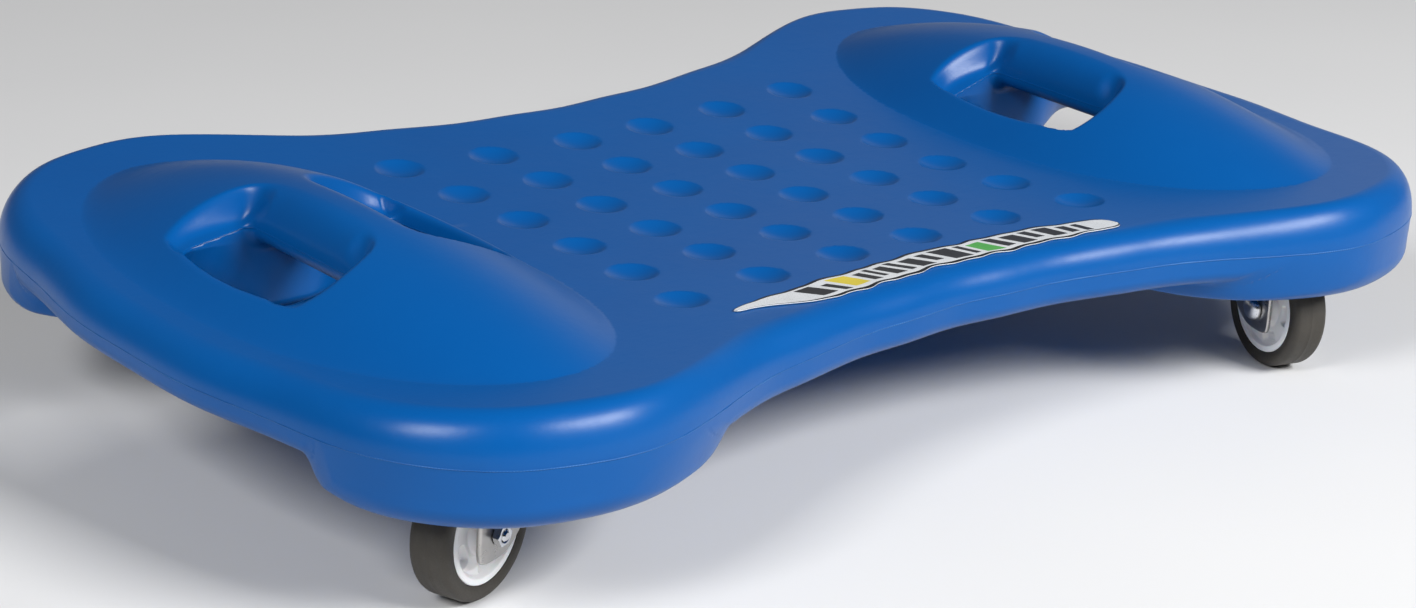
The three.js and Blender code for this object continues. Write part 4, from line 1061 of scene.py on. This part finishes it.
def nut_field(x, y, z):
    u, w = x + TRAIL, z - AXLE_Z
    c = np.abs(y + 13.15)
    a = np.minimum(np.minimum(3.55 - np.abs(w), 3.55 - np.abs(w * 0.5 + u * 0.8660254)), 3.55 - np.abs(w * 0.5 - u * 0.8660254))
    r = np.hypot(u, w)
    cham = (3.62 + (1.45 - c) * 1.6 - r) * 0.53
    f = round_and(np.minimum(a, cham), 1.45 - c, 0.15)
    return round_and(f, (r - 2.25 + np.maximum(c - 1.05, 0) * -0.9), 0.12)


def screw_field(x, y, z):
    r = np.hypot(x, y)
    dome = (63.2 - z) * 1.0
    head = round_and(np.minimum(4.2 - r, 63.2 - z), (z - 60.9) - 0.075 * r * r * (r < 4.3) , 0.5)
    cross = np.minimum(np.maximum(np.abs(x) - 0.55, np.abs(y) - 2.1), np.maximum(np.abs(y) - 0.55, np.abs(x) - 2.1))
    slot = np.maximum(cross, z - 62.1)
    head = np.minimum(head, slot)
    shank = np.minimum(2.0 + 0.14 * np.sin(z * 2 * np.pi / 1.5) - r, (73.2 - z) * 0.7 - 0.45 * (r - 0.4))
    shank = np.minimum(shank, z - 62.6)
    return np.maximum(head, shank)


tread = []
for a in np.linspace(0, 90, 10):
    tread.append((22.2 + 3.0 * math.sin(math.radians(a)), -4.9 - 3.0 * math.cos(math.radians(a))))
TYRE = [(19.45, -7.2), (20.3, -7.62), (21.2, -7.85)] + tread + [(25.2, -2.0), (25.2, -0.16), (25.24, -0.08), (25.24, 0.08), (25.2, 0.16), (25.2, 2.0)]
TYRE += [(r, -y) for r, y in tread[::-1]] + [(21.2, 7.85), (20.3, 7.62), (19.45, 7.2), (19.45, -7.2)]
thread = []
for k in range(5):
    y = -11.7 - 0.7 * k
    thread += [(2.0, y), (1.72, y - 0.35)]
BOLT = [(0, 15.2), (1.4, 15.12), (2.7, 14.85), (3.8, 14.4), (4.7, 13.75), (5.2, 13.0), (5.38, 12.3), (5.3, 11.85), (5.0, 11.7), (3.0, 11.7), (3.0, -11.5)] + thread + [(1.3, -15.3), (0, -15.3)]
BUSH = [(3.3, -9.1), (4.8, -9.1), (5.0, -8.9), (5.0, 8.9), (4.8, 9.1), (3.3, 9.1), (3.3, -9.1)]
KINGPIN = [(0, 51.9), (2.6, 51.98), (4.6, 52.2), (5.9, 52.6), (6.55, 53.1), (6.6, 53.5), (6.4, 53.7), (4.0, 53.7), (4.0, 65.2), (3.8, 65.4), (0, 65.4)]

fork_m = implicit_mesh(fork_field, (-31, -20, 14), (21, 20, 58), 0.55)
plate_m = implicit_mesh(plate_field, (-31, -25, 59), (31, 25, 67), 0.7)
race_m = implicit_mesh(race_field, (-17, -17, 55.5), (17, 17, 62.5), 0.55)
nut_m = implicit_mesh(nut_field, (-TRAIL - 5, -15.4, AXLE_Z - 5), (-TRAIL + 5, -11, AXLE_Z + 5), 0.26)
screw_m = implicit_mesh(screw_field, (-5, -5, 60), (5, 5, 74), 0.32)
HUB_PHASE = {"fl": (20.0, -153.0), "fr": (-179.0, 30.0), "rl": (5.0, -40.0), "rr": (48.0, 12.0)}
off_axle = np.array([-TRAIL, 0.0, AXLE_Z])


def shifted(made, by):
    v, f, c = made
    return v + by, f, c


tyre_m = shifted(turned(TYRE, 128, "y"), off_axle)
bolt_m = shifted(turned(BOLT, 40, "y"), off_axle)
bush_m = shifted(turned(BUSH, 32, "y"), off_axle)
pin_m = turned(KINGPIN, 40)

for tag, sx, sy, heading in CASTERS:
    a = math.radians(heading)
    rot = np.array([[math.cos(a), -math.sin(a), 0], [math.sin(a), math.cos(a), 0], [0, 0, 1.0]])
    at = np.array([sx * CAST_X, sy * CAST_Y, 0.0])
    still, swing = (np.eye(3), at), (rot, at)
    node = "caster_" + tag + "_"

    def done(ob, what, body):
        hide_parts(node + what)
        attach(ob, body)

    done(piece("plate_" + tag, *plate_m, steel, still), "plate", "board")
    done(turned_piece("kingpin_" + tag, pin_m, bright, still), "kingpin", "board")
    for k, (dx, dy) in enumerate(SCREWS):
        done(piece("screw_%s_%d" % (tag, k + 1), *screw_m, bright, (np.eye(3), at + [dx, dy, 0])), "screw_%d" % (k + 1), "board")
    done(piece("fork_" + tag + "_legs", *fork_m, steel, swing), "fork", "fork_" + tag)
    done(piece("ball_race_" + tag, *race_m, steel, swing), "race", "fork_" + tag)
    done(turned_piece("bolt_" + tag, bolt_m, bright, swing), "bolt", "fork_" + tag)
    done(piece("nut_" + tag, *nut_m, bright, swing), "nut", "fork_" + tag)
    done(turned_piece("bush_" + tag, bush_m, steel, swing), "bush", "fork_" + tag)
    hub_m = implicit_mesh(hub_field(*HUB_PHASE[tag]), (-TRAIL - 20.3, -9.8, AXLE_Z - 20.3), (-TRAIL + 20.3, 9.8, AXLE_Z + 20.3), 0.6)
    done(piece("hub_" + tag, *hub_m, hub_mat, swing), "hub", "wheel_" + tag)
    done(turned_piece("tyre_" + tag, tyre_m, rubber, swing), "tyre", "wheel_" + tag)


# ------------------------------------------------------------------ floor, light, camera
def floor_material():
    n = Nodes("pale_floor")
    cloud = n.noise(2.2, 3.0, 0.5)
    fine = n.noise(300.0, 2.0, 0.6)
    n.link(n.ramp(cloud, [(0.3, (0.70, 0.70, 0.705)), (0.7, (0.74, 0.74, 0.74))]), n.shader.inputs["Base Color"])
    n.link(n.span(fine, 0.3, 0.7, 0.65, 0.75), n.shader.inputs["Roughness"])
    n.bump([(fine, 0.05, 0.0001)])
    return n.mat


me = bpy.data.meshes.new("studio_floor")
me.from_pydata([(-9, -9, 0), (9, -9, 0), (9, 9, 0), (-9, 9, 0)], [], [(0, 1, 2, 3)])
me.materials.append(floor_material())
floor = bpy.data.objects.new("studio_floor", me)
bpy.context.scene.collection.objects.link(floor)


def soft_box(name, direction, distance, size, power, target=(0, 0, 0.08), colour=(1, 1, 1)):
    d = Vector(direction).normalized()
    light = bpy.data.lights.new(name, "AREA")
    light.shape = "RECTANGLE"
    light.size, light.size_y = size
    light.energy = power
    light.color = colour
    ob = bpy.data.objects.new(name, light)
    bpy.context.scene.collection.objects.link(ob)
    ob.location = Vector(target) + d * distance
    ob.rotation_mode = "QUATERNION"
    ob.rotation_quaternion = (-d).to_track_quat("-Z", "Y")
    return ob


soft_box("box_left", (-0.77, -0.24, 0.60), 2.5, (0.8, 0.8), 39)
soft_box("box_right", (0.25, -0.78, 0.58), 2.5, (1.1, 0.7), 78)

world = bpy.data.worlds.new("studio")
bpy.context.scene.world = world
world.use_nodes = True
wt = world.node_tree
bg = wt.nodes["Background"]
tc = wt.nodes.new("ShaderNodeTexCoord")
sep = wt.nodes.new("ShaderNodeSeparateXYZ")
wr = wt.nodes.new("ShaderNodeValToRGB")
wt.links.new(tc.outputs["Generated"], sep.inputs[0])
wt.links.new(sep.outputs["Z"], wr.inputs["Fac"])
el = wr.color_ramp.elements
el[0].position, el[0].color = 0.0, (0.115, 0.118, 0.125, 1)
el[1].position, el[1].color = 1.0, (0.10, 0.102, 0.106, 1)
mid = el.new(0.3)
mid.color = (0.095, 0.098, 0.105, 1)
glow = wt.nodes.new("ShaderNodeVectorMath")
glow.operation = "DOT_PRODUCT"
glow.inputs[1].default_value = Vector((0.866, 0.50, 0.08)).normalized()
wt.links.new(tc.outputs["Generated"], glow.inputs[0])
lobe = wt.nodes.new("ShaderNodeMapRange")
lobe.interpolation_type = "SMOOTHSTEP"
for name, value in (("From Min", 0.86), ("From Max", 1.0), ("To Min", 0.0), ("To Max", 0.32)):
    lobe.inputs[name].default_value = value
wt.links.new(glow.outputs["Value"], lobe.inputs["Value"])
ahead = wt.nodes.new("ShaderNodeVectorMath")
ahead.operation = "DOT_PRODUCT"
ahead.inputs[1].default_value = (0.682, 0.731, 0.0)
wt.links.new(tc.outputs["Generated"], ahead.inputs[0])
fall = wt.nodes.new("ShaderNodeMapRange")
fall.interpolation_type = "SMOOTHSTEP"
for name, value in (("From Min", -0.45), ("From Max", 0.45), ("To Min", 0.27), ("To Max", 1.0)):
    fall.inputs[name].default_value = value
wt.links.new(ahead.outputs["Value"], fall.inputs["Value"])
dim = wt.nodes.new("ShaderNodeVectorMath")
dim.operation = "SCALE"
wt.links.new(wr.outputs["Color"], dim.inputs[0])
wt.links.new(fall.outputs["Result"], dim.inputs["Scale"])
lift = wt.nodes.new("ShaderNodeVectorMath")
lift.operation = "ADD"
wt.links.new(dim.outputs["Vector"], lift.inputs[0])
wt.links.new(lobe.outputs["Result"], lift.inputs[1])
wt.links.new(lift.outputs["Vector"], bg.inputs["Color"])
bg.inputs["Strength"].default_value = 1.0

scene = bpy.context.scene
scene.view_settings.view_transform = "Standard"

cam = bpy.data.cameras.new("camera")
cam.lens, cam.sensor_width, cam.sensor_fit = 80.855, 36.0, "HORIZONTAL"
cam.shift_x, cam.shift_y = -0.08455, -0.0463
cam.clip_start, cam.clip_end = 0.05, 50
camera = bpy.data.objects.new("camera", cam)
scene.collection.objects.link(camera)
az, elv, roll = math.radians(-43.02), math.radians(19.249), 0.0600
back = Vector((math.sin(az) * math.cos(elv), -math.cos(az) * math.cos(elv), math.sin(elv)))
right = (-back).cross(Vector((0, 0, 1))).normalized()
upc = right.cross(-back)
cx = math.cos(roll) * right + math.sin(roll) * upc
cy = -math.sin(roll) * right + math.cos(roll) * upc
m = Matrix((cx, cy, back)).transposed().to_4x4()
m.translation = Vector((-0.7924, -0.9014, 0.4742))
camera.matrix_world = m
scene.camera = camera
